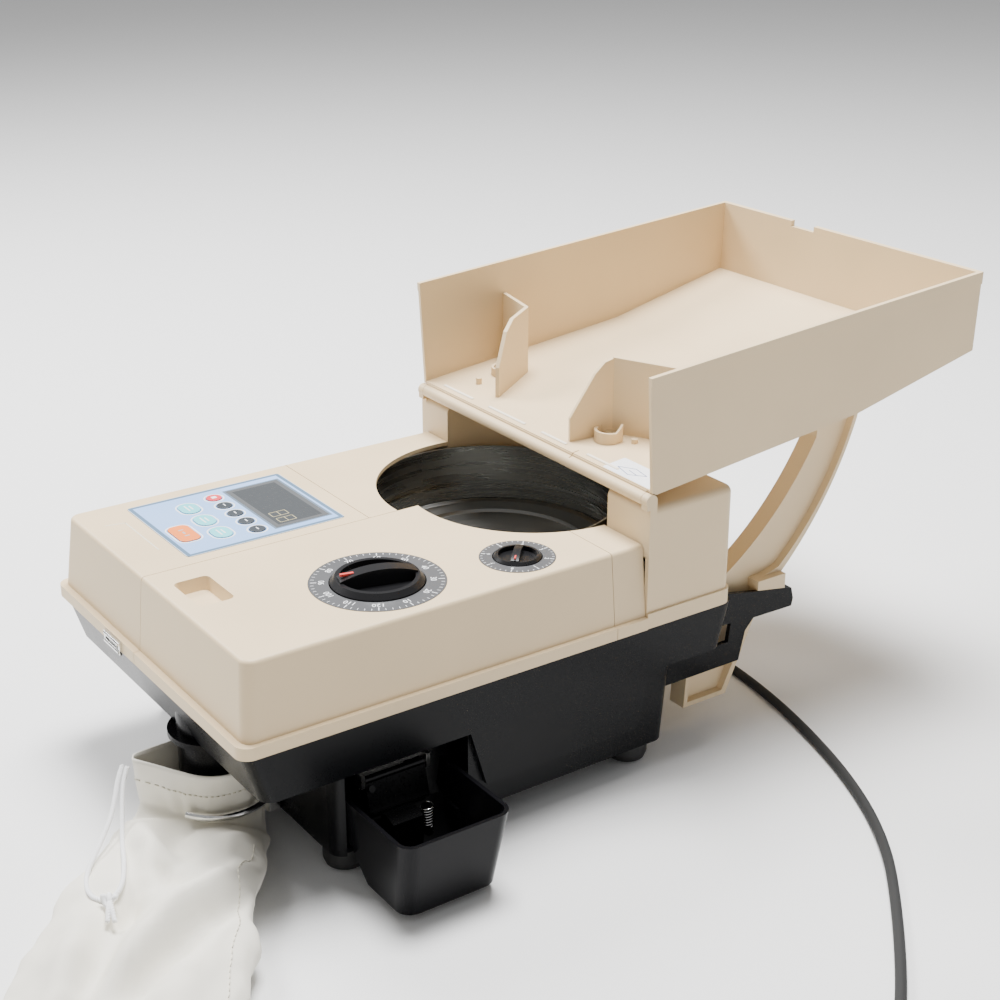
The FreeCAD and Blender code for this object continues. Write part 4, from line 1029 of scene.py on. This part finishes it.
class COINSORTER_OT_dial_scales(bpy.types.Operator):
    """Prints the scales round both knobs and their red pointers"""
    bl_idname = "coinsorter.dial_scales"
    bl_label = "Dial scales"

    def execute(self, context):
        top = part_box("dial_plates")[1][2]
        for name, (x, y), ring, knob, marks, small, set_to in DIALS:
            bm = bmesh.new()
            width = ring - knob
            total = marks * small
            for i in range(total):
                turn = 2 * math.pi * i / total
                long = i % small == 0
                length = width * (0.30 if long else 0.16)
                r = ring - width * 0.10 - length / 2
                at = (x + r * math.cos(turn), y + r * math.sin(turn), top + PRINT / 2)
                add_bar(bm, at, length, 0.0005 if long else 0.0003, PRINT, turn)
            for i in range(marks):
                turn = 2 * math.pi * i / marks
                r = knob + width * 0.36
                at = (x + r * math.cos(turn), y + r * math.sin(turn), top + PRINT / 2)
                figure = (i + 1) * 10 if marks > 8 else i + 1
                text_mesh(bm, str(figure), at, width * 0.42, turn - math.pi / 2, PRINT)
            merged(bm, 1e-8)
            piece(name + "_scale", bm, "white_ink", MACHINE, "dial_ring")
            self.pointer(name, x, y, knob, set_to)
        return {"FINISHED"}

    def pointer(self, name, x, y, knob, set_to):
        """A red line let into one end of the knob's grip bar."""
        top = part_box(name + "_knob")[1][2]
        bm = bmesh.new()
        body = name + "_setting"
        at = (x + 0.66 * knob * math.cos(set_to), y + 0.66 * knob * math.sin(set_to), top - 0.067 * knob)
        add_bar(bm, at, 0.30 * knob, 0.07 * knob, 0.06 * knob, set_to)
        merged(bm, 1e-8)
        piece(name + "_pointer", bm, "red_ink", body, "key_red")


# ---------------------------------------------------------------- small parts

SPRING_FOOT = Vector((0.124, -0.060, 0.0215))
SPRING_RADIUS = 0.0036
SPRING_HEIGHT = 0.0125
LABEL_X = 0.0945
LABEL_Y = 0.1055

# the label's drawing, as lines between two places on it
LABEL_LINES = (
    ((-0.015, -0.002), (-0.004, 0.003)), ((-0.004, 0.003), (0.008, 0.001)),
    ((0.008, 0.001), (-0.002, -0.005)), ((-0.002, -0.005), (-0.015, -0.002)),
    ((-0.006, -0.0008), (0.003, -0.0022)), ((0.010, 0.004), (0.016, 0.0055)),
    ((0.010, 0.0015), (0.017, 0.003)),
)


class COINSORTER_OT_small_parts(bpy.types.Operator):
    """Adds the catch's spring, the tray's label and the ribs on its lip"""
    bl_idname = "coinsorter.small_parts"
    bl_label = "Small parts"

    def execute(self, context):
        bm = bmesh.new()
        path = []
        for i in range(120):
            turn = 2 * math.pi * i / 16
            around = Vector((math.cos(turn), math.sin(turn), 0)) * SPRING_RADIUS
            path.append(SPRING_FOOT + around + UP * SPRING_HEIGHT * i / 119)
        tube_along(bm, path, 0.0005, 7)
        merged(bm, 1e-8)
        spring = piece("catch_spring_wire", bm, "bright_chrome", "cup", "bright_chrome")
        smooth(spring, 0)
        self.label()
        self.lip_ribs()
        return {"FINISHED"}

    def floor_z(self, y):
        """The height of the tray's floor at its front part."""
        return 0.1814 + 0.1055 * (y - 0.0983)

    def label(self):
        slope = math.atan(0.1055)
        place = Matrix.Translation((LABEL_X, LABEL_Y, self.floor_z(LABEL_Y) + 0.00005))
        tilt = place @ Matrix.Rotation(slope, 4, "X")
        bm = bmesh.new()
        add_plate(bm, (0, 0, 0), 0.0215, 0.0085, 0.0012, 0.0001, steps=4)
        merged(bm, 1e-7)
        bmesh.ops.transform(bm, matrix=tilt, verts=bm.verts)
        piece("tray_label", bm, "paper", "tray", "panel_film")
        bm = bmesh.new()
        for (x0, y0), (x1, y1) in LABEL_LINES:
            length = math.hypot(x1 - x0, y1 - y0)
            turn = math.atan2(y1 - y0, x1 - x0)
            add_bar(bm, ((x0 + x1) / 2, (y0 + y1) / 2, 0.00013), length, 0.0005, PRINT, turn)
        merged(bm, 1e-8)
        bmesh.ops.transform(bm, matrix=tilt, verts=bm.verts)
        piece("tray_label_drawing", bm, "blue_ink", "tray", "panel_film")

    def lip_ribs(self):
        """Shallow elongated ribs along the tray's lip."""
        bm = bmesh.new()
        for x, length in ((-0.030, 0.040), (0.020, 0.026), (0.068, 0.030), (-0.085, 0.034)):
            add_bar(bm, (x, 0.1012, self.floor_z(0.1012) + 0.0001), length, 0.0022, 0.0011, 0, 0.35)
        merged(bm, 1e-8)
        ribs = piece("lip_ribs", bm, "cream_casing", "tray", "cream_casing")
        smooth(ribs, 0.5)


# ---------------------------------------------------------------- sidebar and run

OPERATORS = (COINSORTER_OT_stage, COINSORTER_OT_finishes, COINSORTER_OT_power_cord, COINSORTER_OT_drawstring,
             COINSORTER_OT_coin_bag, COINSORTER_OT_panel_print, COINSORTER_OT_dial_scales,
             COINSORTER_OT_small_parts)
GROUPS = (CasingSettings, BagSettings, CordSettings, SorterSettings)


class COINSORTER_PT_panel(bpy.types.Panel):
    """Lists the machine's settings and its operators"""
    bl_idname = "COINSORTER_PT_panel"
    bl_label = "Coin Sorter"
    bl_space_type = "VIEW_3D"
    bl_region_type = "UI"
    bl_category = "Coin Sorter"

    def draw(self, context):
        values = context.scene.coin_sorter
        for group in (values.casing, values.bag, values.cords):
            column = self.layout.column()
            for key in group.__annotations__:
                column.prop(group, key)
        for operator in OPERATORS:
            self.layout.operator(operator.bl_idname)


def register():
    for cls in (*GROUPS, *OPERATORS, COINSORTER_PT_panel):
        bpy.utils.register_class(cls)
    bpy.types.Scene.coin_sorter = PointerProperty(type=SorterSettings)


def unregister():
    del bpy.types.Scene.coin_sorter
    for cls in reversed((*GROUPS, *OPERATORS, COINSORTER_PT_panel)):
        bpy.utils.unregister_class(cls)


def main():
    register()
    bpy.ops.coinsorter.stage()
    bpy.ops.coinsorter.finishes()
    bpy.ops.coinsorter.power_cord()
    bpy.ops.coinsorter.drawstring()
    bpy.ops.coinsorter.coin_bag()
    bpy.ops.coinsorter.panel_print()
    bpy.ops.coinsorter.dial_scales()
    bpy.ops.coinsorter.small_parts()


if __name__ == "__main__":
    main()
